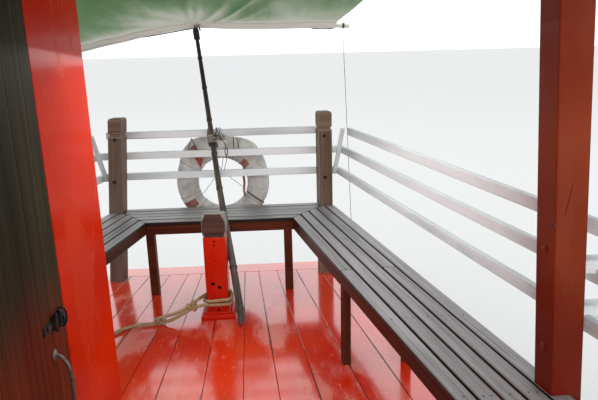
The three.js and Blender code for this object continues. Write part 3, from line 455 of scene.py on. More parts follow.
def awning_cloth():
    paint = Paint("canopy_cloth", Sheen_Weight=0.15)
    grain = paint.stored("grain")
    hem = paint.stored("edge", "Fac")
    across, back, pale = paint.split(grain)
    cloudy = paint.noise(paint.scaled(grain, (2.6, 1.2, 0.0)), detail=4, warp=1.0)
    streaks = paint.noise(paint.scaled(grain, (22.0, 3.0, 0.0)), detail=3)
    bleach_and_painted_light = (pale + streaks * 0.34 - 0.17).rises(0.02, 0.98)
    weave = (across * 420.0).fraction() * 0.5 + (back * 420.0).fraction() * 0.5
    green = paint.mix(cloudy.rises(0.3, 0.7), colour("4e8a44"), colour("7fa870"))
    cloth = paint.mix(bleach_and_painted_light * 0.92, green, colour("d9d8d2"))
    bump = paint.bump(streaks * 0.6 + weave * 0.08, 0.5, 0.003)
    paint.wear(Base_Color=cloth, Roughness=(cloudy * 0.2 + 0.55), Normal=bump)
    through = [
        paint.node("ShaderNodeBsdfTranslucent", None, {"Color": colour(code)}) for code in ("5f9a52", "d6d8cf")
    ]
    daylight = paint.node("ShaderNodeMixShader", None, {0: bleach_and_painted_light, 1: through[0], 2: through[1]})
    surface = Number(paint, paint.shader.outputs[0])
    both = paint.node("ShaderNodeMixShader", None, {0: 0.46 * (1 - hem), 1: surface, 2: daylight})
    paint.feed(paint.tree.nodes["Material Output"].inputs["Surface"], both)
    return paint.material


ROPE = rope_finish("rope", "7d6245", "c9ab7e", "4a3a2b")
TWINE = rope_finish("grey_twine", "6a645a", "a79f90", "37332d")
DARK_TWINE = rope_finish("dark_twine", "1c1b1a", "3a3835", "0f0e0d")
RED_STRAP = rope_finish("red_strap", "5e2c24", "b07c6e", "3c201a")
PENNANT = rope_finish("pennant", "7c2622", "a04a42", "5a1814")
CANVAS = ring_canvas()
CANE = cane()
AWNING = awning_cloth()
print("fibres:", [m.name for m in (ROPE, TWINE, DARK_TWINE, CANVAS, CANE, AWNING)])

# %% [markdown]
# Sawn boards make up most of the boat. A cube could be scaled for each, but its corners would be razor sharp and its
# grain would stretch. Here a board is a closed strip between two lines on the deck plan, so it may bend with the
# boat's side. Every long edge gets a chamfer, and each point stores its place in the wood.

# %% Boards as strips
CHAMFER, RUBBED_BAND = 0.002, 0.004
rng = random.Random(7)


def new_boards():
    bm = bmesh.new()
    bm.verts.layers.float_vector.new("grain")
    bm.verts.layers.float.new("edge")
    return bm


def somewhere():
    return Vector((rng.uniform(0, 20), rng.uniform(0, 20), rng.uniform(0, 20)))


def add_ring(bm, points):
    """A row of vertices, each from its place, its place in the wood and how rubbed it is."""
    grain, edge = bm.verts.layers.float_vector["grain"], bm.verts.layers.float["edge"]
    ring = []
    for place, wood_place, rubbed in points:
        v = bm.verts.new(place)
        v[grain], v[edge] = wood_place, rubbed
        ring.append(v)
    return ring


def add_skin(bm, rings, closed=False):
    """Faces round a row of rings, with both ends capped unless the last ring meets the first."""
    for one, two in zip(rings, rings[1:] + rings[: int(closed)]):
        for corners in zip(one, one[1:] + one[:1], two[1:] + two[:1], two):
            bm.faces.new(corners)
    if not closed:
        bm.faces.new(rings[0][::-1])
        bm.faces.new(rings[-1])


def add_board(bm, left, right, low, high, chamfer=CHAMFER):
    """One board from plan line left to plan line right, both lists of (x, y), between two heights."""
    shift = somewhere()
    lines = [(Vector(a), Vector(b)) for a, b in zip(left, right)]
    nudge = [(lines[k][0] - lines[j][0]).normalized() * chamfer for k, j in ((1, 0), (-2, -1))]
    fore = [(*lines[0], chamfer), (*[p + nudge[0] for p in lines[0]], 0.0)]
    aft = [(*[p + nudge[1] for p in lines[-1]], 0.0), (*lines[-1], chamfer)]
    rings, run, before = [], 0.0, (lines[0][1] + lines[0][0]) / 2
    for a, b, shrink in fore + [(a, b, 0.0) for a, b in lines[1:-1]] + aft:
        middle = (a + b) / 2
        run += (middle - before).length
        before = middle
        wide = (b - a).length
        across = (b - a) / wide
        c = chamfer + shrink
        band = min(RUBBED_BAND, wide / 5)
        section = (
            (c, high - shrink, 1), (c + band, high - shrink, 0), (wide - c - band, high - shrink, 0),
            (wide - c, high - shrink, 1), (wide - shrink, high - c, 1), (wide - shrink, low + c, 1),
            (wide - c, low + shrink, 1), (c, low + shrink, 1), (shrink, low + c, 1), (shrink, high - c, 1),
        )
        rings.append(add_ring(bm, [((*(a + across * s), z), Vector((run, s, z)) + shift, e) for s, z, e in section]))
    add_skin(bm, rings)


def finish_piece(name, bm, body, material, round_below=None):
    """Turns a bmesh into a piece that rides on a body, and says how big it became."""
    bmesh.ops.recalc_face_normals(bm, faces=bm.faces)
    mesh = bpy.data.meshes.new(name)
    bm.to_mesh(mesh)
    bm.free()
    mesh.materials.append(material)
    if round_below is not None:
        mesh.shade_smooth()
        mesh.set_sharp_from_angle(angle=math.radians(round_below))
    piece = bpy.data.objects.new(name, mesh)
    bpy.context.scene.collection.objects.link(piece)
    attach(piece, body)
    print(f"{name}: {len(mesh.polygons)} faces")
    return piece


print("boards have chamfers of", CHAMFER * 1000, "mm")

# %% [markdown]
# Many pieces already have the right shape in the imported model, but with knife-sharp corners. Their meshes stay as
# they are, so a copy takes their place: its coplanar triangles are merged, its corners get a chamfer, and each face
# stores its own grain along its longest side.

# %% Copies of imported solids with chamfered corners
SHARP = math.radians(25)
FLAT = math.radians(0.6)


def islands(bm):
    """The separate lumps of a mesh, as lists of faces."""
    unseen = set(bm.faces)
    while unseen:
        lump = [unseen.pop()]
        for face in lump:
            for near in (other for e in face.edges for other in e.link_faces if other in unseen):
                unseen.discard(near)
                lump.append(near)
        yield lump


def store_grain(bm, cut=()):
    """Gives every face corner its place in the wood, with the grain along the face's longest side."""
    grain = bm.loops.layers.float_vector.new("grain")
    edge = bm.loops.layers.float.new("edge")
    for lump in islands(bm):
        shift = somewhere()
        for face in sorted(lump, key=lambda f: f.index):
            longest = max(face.edges, key=lambda e: e.calc_length())
            along = (longest.verts[1].co - longest.verts[0].co).normalized()
            if sum(along) < 0:
                along = -along
            across = face.normal.cross(along)
            for loop in face.loops:
                p = loop.vert.co
                loop[grain] = Vector((p.dot(along), p.dot(across), p.dot(face.normal))) + shift
                loop[edge] = float(face in cut)


def copy_of(*nodes):
    bm = bmesh.new()
    for node in nodes:
        bm.from_mesh(NODES[node].data)
    bmesh.ops.remove_doubles(bm, verts=bm.verts, dist=1e-5)
    bmesh.ops.dissolve_limit(bm, angle_limit=FLAT, verts=bm.verts, edges=bm.edges)
    return bm


def chamfered(bm, width, steps=1):
    corners = [e for e in bm.edges if len(e.link_faces) == 2 and e.calc_face_angle(0) > SHARP]
    made = bmesh.ops.bevel(
        bm, geom=corners, offset=width, segments=steps, profile=0.5, affect="EDGES", clamp_overlap=True
    )
    return set(made["faces"])


def dress(node, material, width=CHAMFER, steps=1, round_below=None):
    """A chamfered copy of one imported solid, which stands for it."""
    bm = copy_of(node)
    cut = chamfered(bm, width, steps) if width else set()
    bm.faces.index_update()
    store_grain(bm, cut)
    body = NODES[node]["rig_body"]
    piece = finish_piece(node + "_finished", bm, body, material, round_below)
    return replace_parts(piece, node)


def carve(piece, bm):
    """Cuts a closed mesh out of a piece, and takes the cutter away again."""
    bmesh.ops.recalc_face_normals(bm, faces=bm.faces)
    data = bpy.data.meshes.new("cutter")
    bm.to_mesh(data)
    bm.free()
    cutter = bpy.data.objects.new("cutter", data)
    bpy.context.scene.collection.objects.link(cutter)
    cut = piece.modifiers.new("cut", "BOOLEAN")
    cut.object, cut.solver = cutter, "EXACT"
    bpy.context.view_layer.update()
    carved = bpy.data.meshes.new_from_object(piece.evaluated_get(bpy.context.evaluated_depsgraph_get()))
    piece.modifiers.remove(cut)
    piece.data = carved
    bpy.data.objects.remove(cutter)
    return len(carved.polygons)


print("grain follows each face's longest side")

# %% [markdown]
# Anything round and long, such as rope, cane, pipe or string, is a row of rings along a line. A curve object with a
# bevel would do for a plain pipe, but a rope needs three twisted strands and a cane needs swollen joints. So the
# rings are made in code: a function gives the radius at each place, and may report how deep in a groove it lies.

# %% Smooth lines and round pieces
FINE = 12


def smooth_line(points, step, closed=False):
    """Evenly spaced points on a smooth curve through the given ones."""
    given = [Vector(p) for p in points]
    if closed:
        given = given[-1:] + given + given[:2]
    else:
        given = [given[0] * 2 - given[1]] + given + [given[-1] * 2 - given[-2]]
    fine = []
    for a, b, c, d in zip(given, given[1:], given[2:], given[3:]):
        for k in range(FINE):
            t = k / FINE
            bent = b * 2 + (c - a) * t + (a * 2 - b * 5 + c * 4 - d) * t**2
            fine.append((bent + (b * 3 - a - c * 3 + d) * t**3) / 2)
    fine.append(given[-2])
    lengths = [0.0]
    for a, b in zip(fine, fine[1:]):
        lengths.append(lengths[-1] + (b - a).length)
    count = max(int(round(lengths[-1] / step)), 2)
    line, j = [], 0
    for k in range(count + 1):
        target = lengths[-1] * k / count
        while j < len(fine) - 2 and lengths[j + 1] < target:
            j += 1
        t = (target - lengths[j]) / max(lengths[j + 1] - lengths[j], 1e-9)
        line.append(fine[j].lerp(fine[j + 1], min(t, 1.0)))
    return line


def length_of(line):
    return sum((b - a).length for a, b in zip(line, line[1:]))


def add_round(bm, line, radius, sides=12, twist=0.0, closed=False):
    """Rings along a line. radius is a number, or a function of run and angle that gives radius and groove."""
    shift = somewhere()
    count = len(line)
    out = Vector((0.31, 0.53, 0.79))
    rings, run = [], 0.0
    for k, p in enumerate(line):
        after = line[(k + 1) % count] if closed else line[min(k + 1, count - 1)]
        before = line[k - 1] if closed or k else line[0]
        ahead = (after - before).normalized()
        out = (out - ahead * out.dot(ahead)).normalized()
        up = ahead.cross(out)
        run += (p - line[k - 1]).length if k else 0.0
        points = []
        for s in range(sides):
            angle = 2 * math.pi * s / sides
            r, groove = radius(run, angle) if callable(radius) else (radius, 0.0)
            turned = angle + twist * run
            fibre = Vector((run, math.cos(angle) * r, math.sin(angle) * r)) + shift
            points.append((p + out * (math.cos(turned) * r) + up * (math.sin(turned) * r), fibre, groove))
        rings.append(add_ring(bm, points))
    add_skin(bm, rings, closed)


def add_cord(bm, points, step, radius, sides, twist=0.0, closed=False):
    """A round piece on the smooth line through a few points."""
    line = smooth_line(points, step, closed)
    add_round(bm, line[:-1] if closed else line, radius, sides, twist, closed)


STRAND_DEPTH = 0.2


def strands(size, count=3):
    """The radius of a laid rope: a few round strands with grooves between them."""

    def radius(run, angle):
        crest = abs(math.cos(count * angle / 2))
        return size * (1 - STRAND_DEPTH + STRAND_DEPTH * crest), 1 - min(crest * 1.6, 1.0)

    return radius


print("smooth lines have", FINE, "steps between given points")

# %% [markdown]
# The mooring rope is made fast round the foot of the bitt, and the rest is coiled away. A rope has one real length,
# so it is one line from end to end: a short tail, two turns round the post, a run across the deck and eight turns
# on four levels. Three strands twist along that line in the mesh, because the lay of a rope shows in its outline.

# %% The mooring rope
ROPE_R, ROPE_LAY, ROPE_STEP = 0.010, 0.066, 0.0055
BITT_X, BITT_Y = -0.002, 5.724
TURN_HALF, TURN_ROUND, TURN_SHIFT = 0.075, 0.034, -0.001
COIL_X, COIL_Y = -0.745, 5.300
COIL_OUT, COIL_IN = 0.142, 0.098
COIL_LEVELS, COIL_FLOOR, COIL_RISE = 4, 0.6135, 0.0205


def round_bitt(degrees, z):
    """A point of the rope's turns: a rounded square about the post, seen at an angle from its centre."""
    x, y = math.cos(math.radians(degrees)), math.sin(math.radians(degrees))
    flat = TURN_HALF - TURN_ROUND
    reach = TURN_HALF / max(abs(x), abs(y))
    if min(abs(x), abs(y)) * reach > flat:
        corner = Vector((math.copysign(flat, x), math.copysign(flat, y)))
        along = corner.x * x + corner.y * y
        reach = along + math.sqrt(along**2 - corner.length_squared + TURN_ROUND**2)
    return Vector((BITT_X + TURN_SHIFT + x * reach, BITT_Y + y * reach, z))


def coil_points():
    for k in range(COIL_LEVELS * 2 * 16 + 1):
        turns = k / 16
        level = min(int(turns / 2), COIL_LEVELS - 1)
        part = turns - 2 * level
        inward = part / 2 if level % 2 == 0 else 1 - part / 2
        r = COIL_OUT + (COIL_IN - COIL_OUT) * inward
        climb = max(part - 1.75, 0) / 0.25 if level < COIL_LEVELS - 1 else 0
        angle = -2 * math.pi * turns
        z = COIL_FLOOR + COIL_RISE * (level + climb)
        yield Vector((COIL_X + r * math.cos(angle), COIL_Y + r * math.sin(angle), z))


TAIL = [
    (-0.353, 5.606, 0.631), (-0.321, 5.616, 0.636), (-0.276, 5.618, 0.647), (-0.230, 5.620, 0.660),
    (-0.189, 5.628, 0.676), (-0.150, 5.650, 0.695), (-0.118, 5.681, 0.706),
]
BITT_TURNS = [(168, 0.7105), (120, 0.711), (90, 0.711), (55, 0.711), (10, 0.711), (-10, 0.711), (-45, 0.711)]
BITT_TURNS += [(-80, 0.710), (-115, 0.707), (-145, 0.702), (-180, 0.696), (-225, 0.690), (-260, 0.687)]
BITT_TURNS += [(-280, 0.686), (-315, 0.685), (-350, 0.685), (-370, 0.685), (-405, 0.685), (-435, 0.685)]
RUN = [
    (-0.062, 5.650, 0.685), (-0.106, 5.645, 0.684), (-0.147, 5.632, 0.675), (-0.189, 5.614, 0.659),
    (-0.232, 5.599, 0.641), (-0.275, 5.597, 0.624), (-0.327, 5.600, 0.613), (-0.385, 5.598, 0.611),
    (-0.440, 5.588, 0.611), (-0.492, 5.562, 0.611), (-0.535, 5.524, 0.611), (-0.570, 5.475, 0.611),
    (-0.593, 5.418, 0.612), (-0.603, 5.358, 0.613),
]
rope_points = [Vector(p) for p in TAIL] + [round_bitt(a, z) for a, z in BITT_TURNS] + [Vector(p) for p in RUN]
rope_points += list(coil_points())
rope_line = smooth_line(rope_points, ROPE_STEP)
ROPE_LENGTH = length_of(rope_line)

rope_mesh = new_boards()
add_round(rope_mesh, rope_line, strands(ROPE_R), 18, 2 * math.pi / ROPE_LAY)
mooring_rope = finish_piece("mooring_rope_laid", rope_mesh, "root", ROPE, 60)

# %% [markdown]
# A hitch round the rope's own standing part keeps the turns tight, thin twine holds the tail down, and a knot keeps
# the far end from fraying. They are short lengths of the same rope and twine, each on a closed or open loop.

# %% Hitch, seizings and end knot
TWINE_R = 0.0016


def ring_about(centre, axis, reach_a, reach_b, count=24, lean=0.0):
    """Points of an oval loop about an axis."""
    axis = Vector(axis).normalized()
    a = axis.orthogonal().normalized()
    b = axis.cross(a)
    points = []
    for k in range(count):
        t = 2 * math.pi * k / count
        off = a * (math.cos(t) * reach_a), b * (math.sin(t) * reach_b), axis * (lean * math.cos(t))
        points.append(Vector(centre) + off[0] + off[1] + off[2])
    return points


def add_loop(bm, loop, step, radius, sides=6, twist=0.0):
    """A closed cord, such as one turn of a seizing."""
    add_cord(bm, loop, step, radius, sides, twist, True)


HITCH_AT, HITCH_WAY = Vector((-0.1414, 5.6395, 0.6850)), Vector((-0.87, -0.1, -0.45))
SEIZING_TURNS, KNOT_POINTS = 4, 48


def rope_pieces():
    hitch, seizing, knot = new_boards(), new_boards(), new_boards()
    for shift, lean in ((-0.010, 0.010), (0.012, -0.010)):
        centre = HITCH_AT + HITCH_WAY.normalized() * shift
        add_loop(hitch, ring_about(centre, HITCH_WAY, 0.0235, 0.0235, lean=lean), 0.004, strands(0.0085), 12)
    pieces = [finish_piece("mooring_rope_hitch", hitch, "root", ROPE, 60)]
    for x, y, z in ((-0.336, 5.6045, 0.6225), (-0.304, 5.6075, 0.6275)):
        for turn in range(SEIZING_TURNS):
            loop = ring_about((x + 0.0035 * turn, y, z), (1, 0, -0.2), 0.0150, 0.0225, 20)
            add_loop(seizing, loop, 0.003, TWINE_R)
    pieces.append(finish_piece("mooring_rope_seizing", seizing, "root", TWINE, 60))
    end = rope_line[-1] + Vector((0.004, -0.026, 0.006))
    points = []
    for k in range(KNOT_POINTS):
        t = 2 * math.pi * k / KNOT_POINTS
        r = 0.0165 + 0.0085 * math.cos(1.5 * 2 * t)
        points.append(end + Vector((r * math.cos(2 * t), r * math.sin(2 * t), 0.0085 * math.sin(3 * t))))
    add_loop(knot, points, 0.004, strands(0.0092), 12)
    return pieces + [finish_piece("mooring_rope_end_knot", knot, "root", ROPE, 60)]


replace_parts(mooring_rope, "mooring_rope_turns", "mooring_rope", "mooring_rope_coil")
rope_pieces()
print("mooring rope:", round(ROPE_LENGTH, 3), "m long")

# %% [markdown]
# The sides of the boat open out from the square bow, run straight past the foredeck, and bend into the full beam.
# Everything along the side follows that one line, so it is written once as a function of the station y.

# %% The deck's side line
BOW_Y, HEAD_SEAM_Y, STERN_Y = 6.5, 6.355, -6.5
DECK_TOP = 0.6
BOW_HALF, FLARE = 0.755, 0.20
STRAIGHT_TO, FULL_FROM, FULL_TO = 3.9, 2.64, -2.5
STERN_HALF = 1.1


def beam(y):
    """Half the deck's width at a station."""
    if y > STRAIGHT_TO:
        return BOW_HALF + FLARE * (BOW_Y - y)
    bend = STRAIGHT_TO - FULL_FROM
    d = min(STRAIGHT_TO - y, bend)
    full = BOW_HALF + FLARE * (BOW_Y - STRAIGHT_TO) + FLARE * d - FLARE * d * d / (2 * bend)
    run = max(FULL_TO - y, 0) / (FULL_TO - STERN_Y)
    return full - (full - STERN_HALF) * run * run


def stations(fore, aft):
    """Stations from fore to aft, closer together where the side bends."""
    bends = [3.9, 3.585, 3.27, 2.955, 2.64, -2.5, -3.3, -4.1, -4.9, -5.7]
    return [fore] + [y for y in bends if aft + 0.01 < y < fore - 0.01] + [aft]


def side_line(side, fore, aft, out, line=beam):
    """Plan points that run along one side of the deck, out metres outside its edge or another line."""
    return [(side * (line(y) + out), y) for y in stations(fore, aft)]


print("half beam at the bow, door and midships:", [round(beam(y), 3) for y in (6.5, 4.0, 0.0)])

# %% [markdown]
# The deck is laid in broad boards that fan out with the sides, painted as one but with thin dark seams between them.
# Grooves could be faked in the bump, but the seams catch light and dirt, so each board is a real one with a gap, and
# a strip of tar lies in each gap, just below the paint. The seams on the foredeck run where they do on the boat. Aft
# of a butt they are evenly spaced.

# %% Deck boards and their nails
DECK_SEAMS = [
    (-0.655, -0.900), (-0.525, -0.730), (-0.394, -0.555), (-0.269, -0.375), (-0.175, -0.2165), (-0.024, -0.015),
    (0.118, 0.1695), (0.2115, 0.328), (0.336, 0.501), (0.469, 0.699), (0.625, 0.880),
]
SEAM_STATIONS = (HEAD_SEAM_Y, 4.865)
SEAM_GAP = 0.0012
BUTT_Y = 2.35
DECK_LOW, DECK_UNEVEN, TAR_DOWN = 0.57, 0.0006, 0.0022
AFT_BOARDS = 18


def seam_x(fore_x, aft_x, y):
    """Where a foredeck seam crosses a station: straight while the sides are, then in step with them."""
    slope = (aft_x - fore_x) / (SEAM_STATIONS[0] - SEAM_STATIONS[1])
    straight = max(y, STRAIGHT_TO)
    x = fore_x + slope * (SEAM_STATIONS[0] - straight)
    return x * beam(y) / beam(straight)


def deck_edges(y, aft=False):
    if aft:
        return [beam(y) * (2 * k / AFT_BOARDS - 1) for k in range(AFT_BOARDS + 1)]
    return [-beam(y)] + [seam_x(a, b, y) for a, b in DECK_SEAMS] + [beam(y)]


deck = new_boards()
for fore, aft, is_aft in ((HEAD_SEAM_Y - 0.001, BUTT_Y, False), (BUTT_Y - 0.002, STERN_Y, True)):
    rows = [(y, deck_edges(y, is_aft)) for y in stations(fore, aft)]
    for k in range(len(rows[0][1]) - 1):
        left = [(xs[k] + (SEAM_GAP if k else 0), y) for y, xs in rows]
        right = [(xs[k + 1] - (SEAM_GAP if k < len(xs) - 2 else 0), y) for y, xs in rows]
        add_board(deck, left, right, DECK_LOW, DECK_TOP - rng.uniform(0, DECK_UNEVEN), 0.0015)
caulking = new_boards()
for fore, aft, is_aft in ((HEAD_SEAM_Y - 0.002, BUTT_Y + 0.001, False), (BUTT_Y - 0.003, STERN_Y + 0.001, True)):
    rows = [(y, deck_edges(y, is_aft)) for y in stations(fore, aft)]
    for k in range(1, len(rows[0][1]) - 1):
        left = [(xs[k] - SEAM_GAP, y) for y, xs in rows]
        right = [(xs[k] + SEAM_GAP, y) for y, xs in rows]
        add_board(caulking, left, right, DECK_LOW + 0.002, DECK_TOP - TAR_DOWN, 0.0002)
finish_piece("deck_caulking", caulking, "root", SEAM_TAR)
deck_piece = finish_piece("deck_boards", deck, "root", DECK_PAINT)
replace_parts(deck_piece, "deck")
dress("bow_head_plank", DECK_PAINT)

# %% [markdown]
# A slatted bench runs along each side and across the bow, mitred at the corners and cut away round the posts. The
# five slats are grey and rounded by use, and their sides are painted near black as painted shade in the gaps. Two
# of them are pieced together on the first leg. They are boards again, with their ends on the mitre line.

# %% Bench slats
SLAT_COUNT, SLAT_GAP = 5, 0.0105
SEAT_INNER, SEAT_OUTER = 0.405, 0.075
SLAT_WIDE = (SEAT_INNER - SEAT_OUTER - (SLAT_COUNT - 1) * SLAT_GAP) / SLAT_COUNT
SLAT_LOW, SLAT_TOP, SLAT_UNEVEN, SLAT_CHAMFER = 1.052, 1.076, 0.0015, 0.003
BENCH_FRONT_Y, BENCH_AFT_Y = 6.015, -4.4
MITRE_GAP = BUTT_GAP = 0.0015
POST_AFT_Y, POST_IN_X = 6.262, 0.629
HOUSE_BENCH_YS = (4.769, 2.896)
BENCHES = {
    "starboard": (1, None, BENCH_AFT_Y, {0: 5.11, 3: 5.125, 1: 3.7, 4: 2.5, 2: 1.2}),
    "port_fore": (-1, None, HOUSE_BENCH_YS[0], {}),
    "port_aft": (-1, HOUSE_BENCH_YS[1], BENCH_AFT_Y, {1: 1.2, 3: -1.4}),
}
FURTHER_BUTTS = 3.0


def slat_edge(k):
    """How far inside the deck's edge slat k starts, slat 0 being the innermost, and how far it ends."""
    start = SEAT_INNER - k * (SLAT_WIDE + SLAT_GAP)
    return start, start - SLAT_WIDE


def mitre_y(inset):
    return BENCH_FRONT_Y + SEAT_INNER - inset - MITRE_GAP


def side_slats(name, side, fore, aft, butts):
    """Slats from a station or the mitre to another, pieced together at the butts."""
    bm = new_boards()
    for k in range(SLAT_COUNT):
        joints = [butts[k] - n * FURTHER_BUTTS for n in range(4)] if k in butts else []
        stops = [None] + [y for y in joints if aft + 0.3 < y] + [aft]
        for a, b in zip(stops, stops[1:]):
            lines = []
            for inset in slat_edge(k):
                start = a - BUTT_GAP if a is not None else fore or min(mitre_y(inset), POST_AFT_Y)
                end = b + (BUTT_GAP if b != aft else 0)
                lines.append([(side * (beam(y) - inset), y) for y in stations(start, end)])
            add_board(bm, *lines, SLAT_LOW, SLAT_TOP - rng.uniform(0, SLAT_UNEVEN), SLAT_CHAMFER)
    piece = finish_piece(f"bench_{name}_slats", bm, "root", SLAT_WOOD)
    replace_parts(piece, f"bench_{name}_seat")


def bow_slats():
    bm = new_boards()
    for k in range(SLAT_COUNT):
        lines = []
        fore = BENCH_FRONT_Y + k * (SLAT_WIDE + SLAT_GAP)
        for y in (fore, fore + SLAT_WIDE):
            reach = beam(y) - SEAT_INNER + (y - BENCH_FRONT_Y) - MITRE_GAP
            if y > POST_AFT_Y:
                reach = min(reach, POST_IN_X)
            lines.append([(-reach, y), (reach, y)])
        add_board(bm, *lines[::-1], SLAT_LOW, SLAT_TOP - rng.uniform(0, SLAT_UNEVEN), SLAT_CHAMFER)
    piece = finish_piece("bench_bow_slats", bm, "root", SLAT_WOOD)
    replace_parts(piece, "bench_bow_seat")


for name, facts in BENCHES.items():
    side_slats(name, *facts)
bow_slats()

# %% [markdown]
# Three thin rails run round the bow and along both sides, once white and now chalky grey with open grain. They are
# the palest things on board and are seen against a pale background, so their shape has to do the work: separate
# boards on stanchions, with blocks at the roof posts and a slanted strut where the rails meet at the bow.

# %% Rails, stanchions, blocks and struts
RAIL_TOPS = (1.582, 1.450, 1.314)
RAIL_HIGH, RAIL_THICK, RAIL_CHAMFER = 0.045, 0.025, 0.003
RAIL_OUT = (0.005, -0.003, -0.032)
RAIL_CLOSE = 0.007
SIDE_RAIL_FORE, SIDE_RAIL_AFT = (6.235, 6.3545, 6.3545), -5.0
BOW_RAILS = {"bow_rail_top": 0.722, "bow_rail_middle": 0.812, "bow_rail_lower": 0.768}
STANCHION_YS, STANCHION_HALF = (2.95, 0.70, -1.60, -3.85, -4.96), 0.02
ROOF_POST_YS = (4.110, 1.820, -0.450, -2.720, -4.990)
STRUT_TOP_Y, STRUT_FOOT_Y, STRUT_WIDE = 6.262, 6.322, 0.028
POST_SET, POST_LEAN = 0.012, 0.0645


def rail_line(y):
    """The rails open out a little less than the deck's edge."""
    return beam(y) - RAIL_CLOSE * (BOW_Y - max(y, STRAIGHT_TO))


def side_rails(name, side):
    bm = new_boards()
    for top_z, out, fore in zip(RAIL_TOPS, RAIL_OUT, SIDE_RAIL_FORE):
        inner = side_line(side, fore, SIDE_RAIL_AFT, out, rail_line)
        outer = side_line(side, fore, SIDE_RAIL_AFT, out + RAIL_THICK, rail_line)
        add_board(bm, inner, outer, top_z - RAIL_HIGH, top_z, RAIL_CHAMFER)
    for y in STANCHION_YS:
        xs = [side * (rail_line(y) + RAIL_OUT[0] + RAIL_THICK + out) for out in (0.0005, 0.022)]
        edges = [[(x, y - STANCHION_HALF), (x, y + STANCHION_HALF)] for x in xs]
        add_board(bm, *edges, RAIL_TOPS[2] - 0.06, RAIL_TOPS[0] - 0.003, RAIL_CHAMFER)
    piece = finish_piece(f"rails_{name}", bm, "root", RAIL_WOOD)
    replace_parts(piece, f"side_rails_{name}")


for name, side in (("starboard", 1), ("port", -1)):
    side_rails(name, side)
for node, reach in BOW_RAILS.items():
    low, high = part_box(node)
    rail = new_boards()
    edges = [[(-reach, y), (reach, y)] for y in (low.y, high.y)]
    add_board(rail, *edges, low.z, high.z, RAIL_CHAMFER)
    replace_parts(finish_piece(node + "_board", rail, "root", RAIL_WOOD), node)

# %% [markdown]
# The side rails stop short at the bow, one above the other, and a slanted strut holds their ends. At each roof post
# a block carries the two upper rails past it. Such slanted or short members are planks between two end points, with
# a half width and a half thickness given as vectors, so they can stand at any angle.

# %% Planks at any angle, and the rails' struts and blocks


def add_plank(bm, start, end, across, up, chamfer=CHAMFER):
    """A chamfered plank between two points. across and up are vectors to half its width and thickness."""
    shift = somewhere()
    start, end, across, up = (Vector(v) for v in (start, end, across, up))
    ahead = (end - start).normalized()
    long, wide, thick = (end - start).length, across.length, up.length
    side_dir, top_dir = across / wide, up / thick
    c = min(chamfer, wide / 3, thick / 3)
    band = min(RUBBED_BAND, wide / 4)
    rings = []
    for run, s in ((0, c), (c, 0), (long - c, 0), (long, c)):
        w, t = wide - s, thick - s
        section = (
            (w - c, t, 1), (w - c - band, t, 0), (c + band - w, t, 0), (c - w, t, 1),
            (-w, t - c, 1), (-w, c - t, 1), (c - w, -t, 1), (c + band - w, -t, 0),
            (w - c - band, -t, 0), (w - c, -t, 1), (w, c - t, 1), (w, t - c, 1),
        )
        foot = start + ahead * run
        rings.append(add_ring(bm, [
            (foot + side_dir * a + top_dir * b, Vector((run, a, b)) + shift, e) for a, b, e in section
        ]))
    add_skin(bm, rings)


rail_bits = new_boards()
for side in (1, -1):
    foot_x = side * (beam(STRUT_FOOT_Y) - 0.038 - STRUT_WIDE / 2)
    top_x = side * (beam(STRUT_TOP_Y) - 0.001 - STRUT_WIDE / 2)
    add_plank(rail_bits, (foot_x, STRUT_FOOT_Y, 1.274), (top_x, STRUT_TOP_Y, 1.577), (0.014, 0, 0), (0, 0.009, 0.002))
    for y in ROOF_POST_YS[1 - (side + 1) // 2 :]:
        for top_z, out in ((RAIL_TOPS[1], RAIL_OUT[1]), (RAIL_TOPS[2], RAIL_OUT[2])):
            low, high = top_z - 0.014, top_z + 0.028
            inner = side_line(side, y + 0.022, y - 0.022, 0.001 - POST_SET - POST_LEAN * (low - DECK_TOP))
            outer = side_line(side, y + 0.022, y - 0.022, out + RAIL_THICK + 0.055)
            add_board(rail_bits, inner, outer, low, high, RAIL_CHAMFER)
finish_piece("rail_struts_and_blocks", rail_bits, "root", RAIL_WOOD)

# %% [markdown]
# The awning is one sheet of tarpaulin, laced to the roof beam behind and sleeved over a pipe in front, where a cane
# pole pushes it up. The pipe droops away from the pole's head and the sheet follows it, so its line comes first.

# %% The awning's pipe and edges
SPAR_Y, SPAR_R = 6.817, 0.015
SPAR_LINE = [
    (-1.080, 2.083), (-0.940, 2.107), (-0.800, 2.138), (-0.633, 2.170), (-0.500, 2.200), (-0.368, 2.222),
    (-0.267, 2.237), (-0.160, 2.247), (-0.060, 2.243), (0.100, 2.235), (0.360, 2.229), (0.602, 2.228),
    (0.806, 2.225), (0.905, 2.221),
]
AWNING_FRONT, AWNING_BACK = (-1.060, 0.810), (-1.220, 1.225)
AWNING_BACK_Y, AWNING_BACK_Z = 4.8006, 2.689
AWNING_SAG, AWNING_ARCH = 0.070, 0.054
ROOF_REF = 1.52
POLE_FOOT, POLE_HEAD = Vector((0.138, 5.545, 0.6)), Vector((-0.149, 6.817, 2.228))
spar_line = smooth_line([(x, SPAR_Y, z) for x, z in SPAR_LINE], 0.02)


def spar_z(x):
    for a, b in zip(spar_line, spar_line[1:]):
        if x <= b.x:
            return a.z + (b.z - a.z) * (x - a.x) / (b.x - a.x)
    return spar_line[-1].z


print("the pipe's line is", round(length_of(spar_line), 3), "m long")
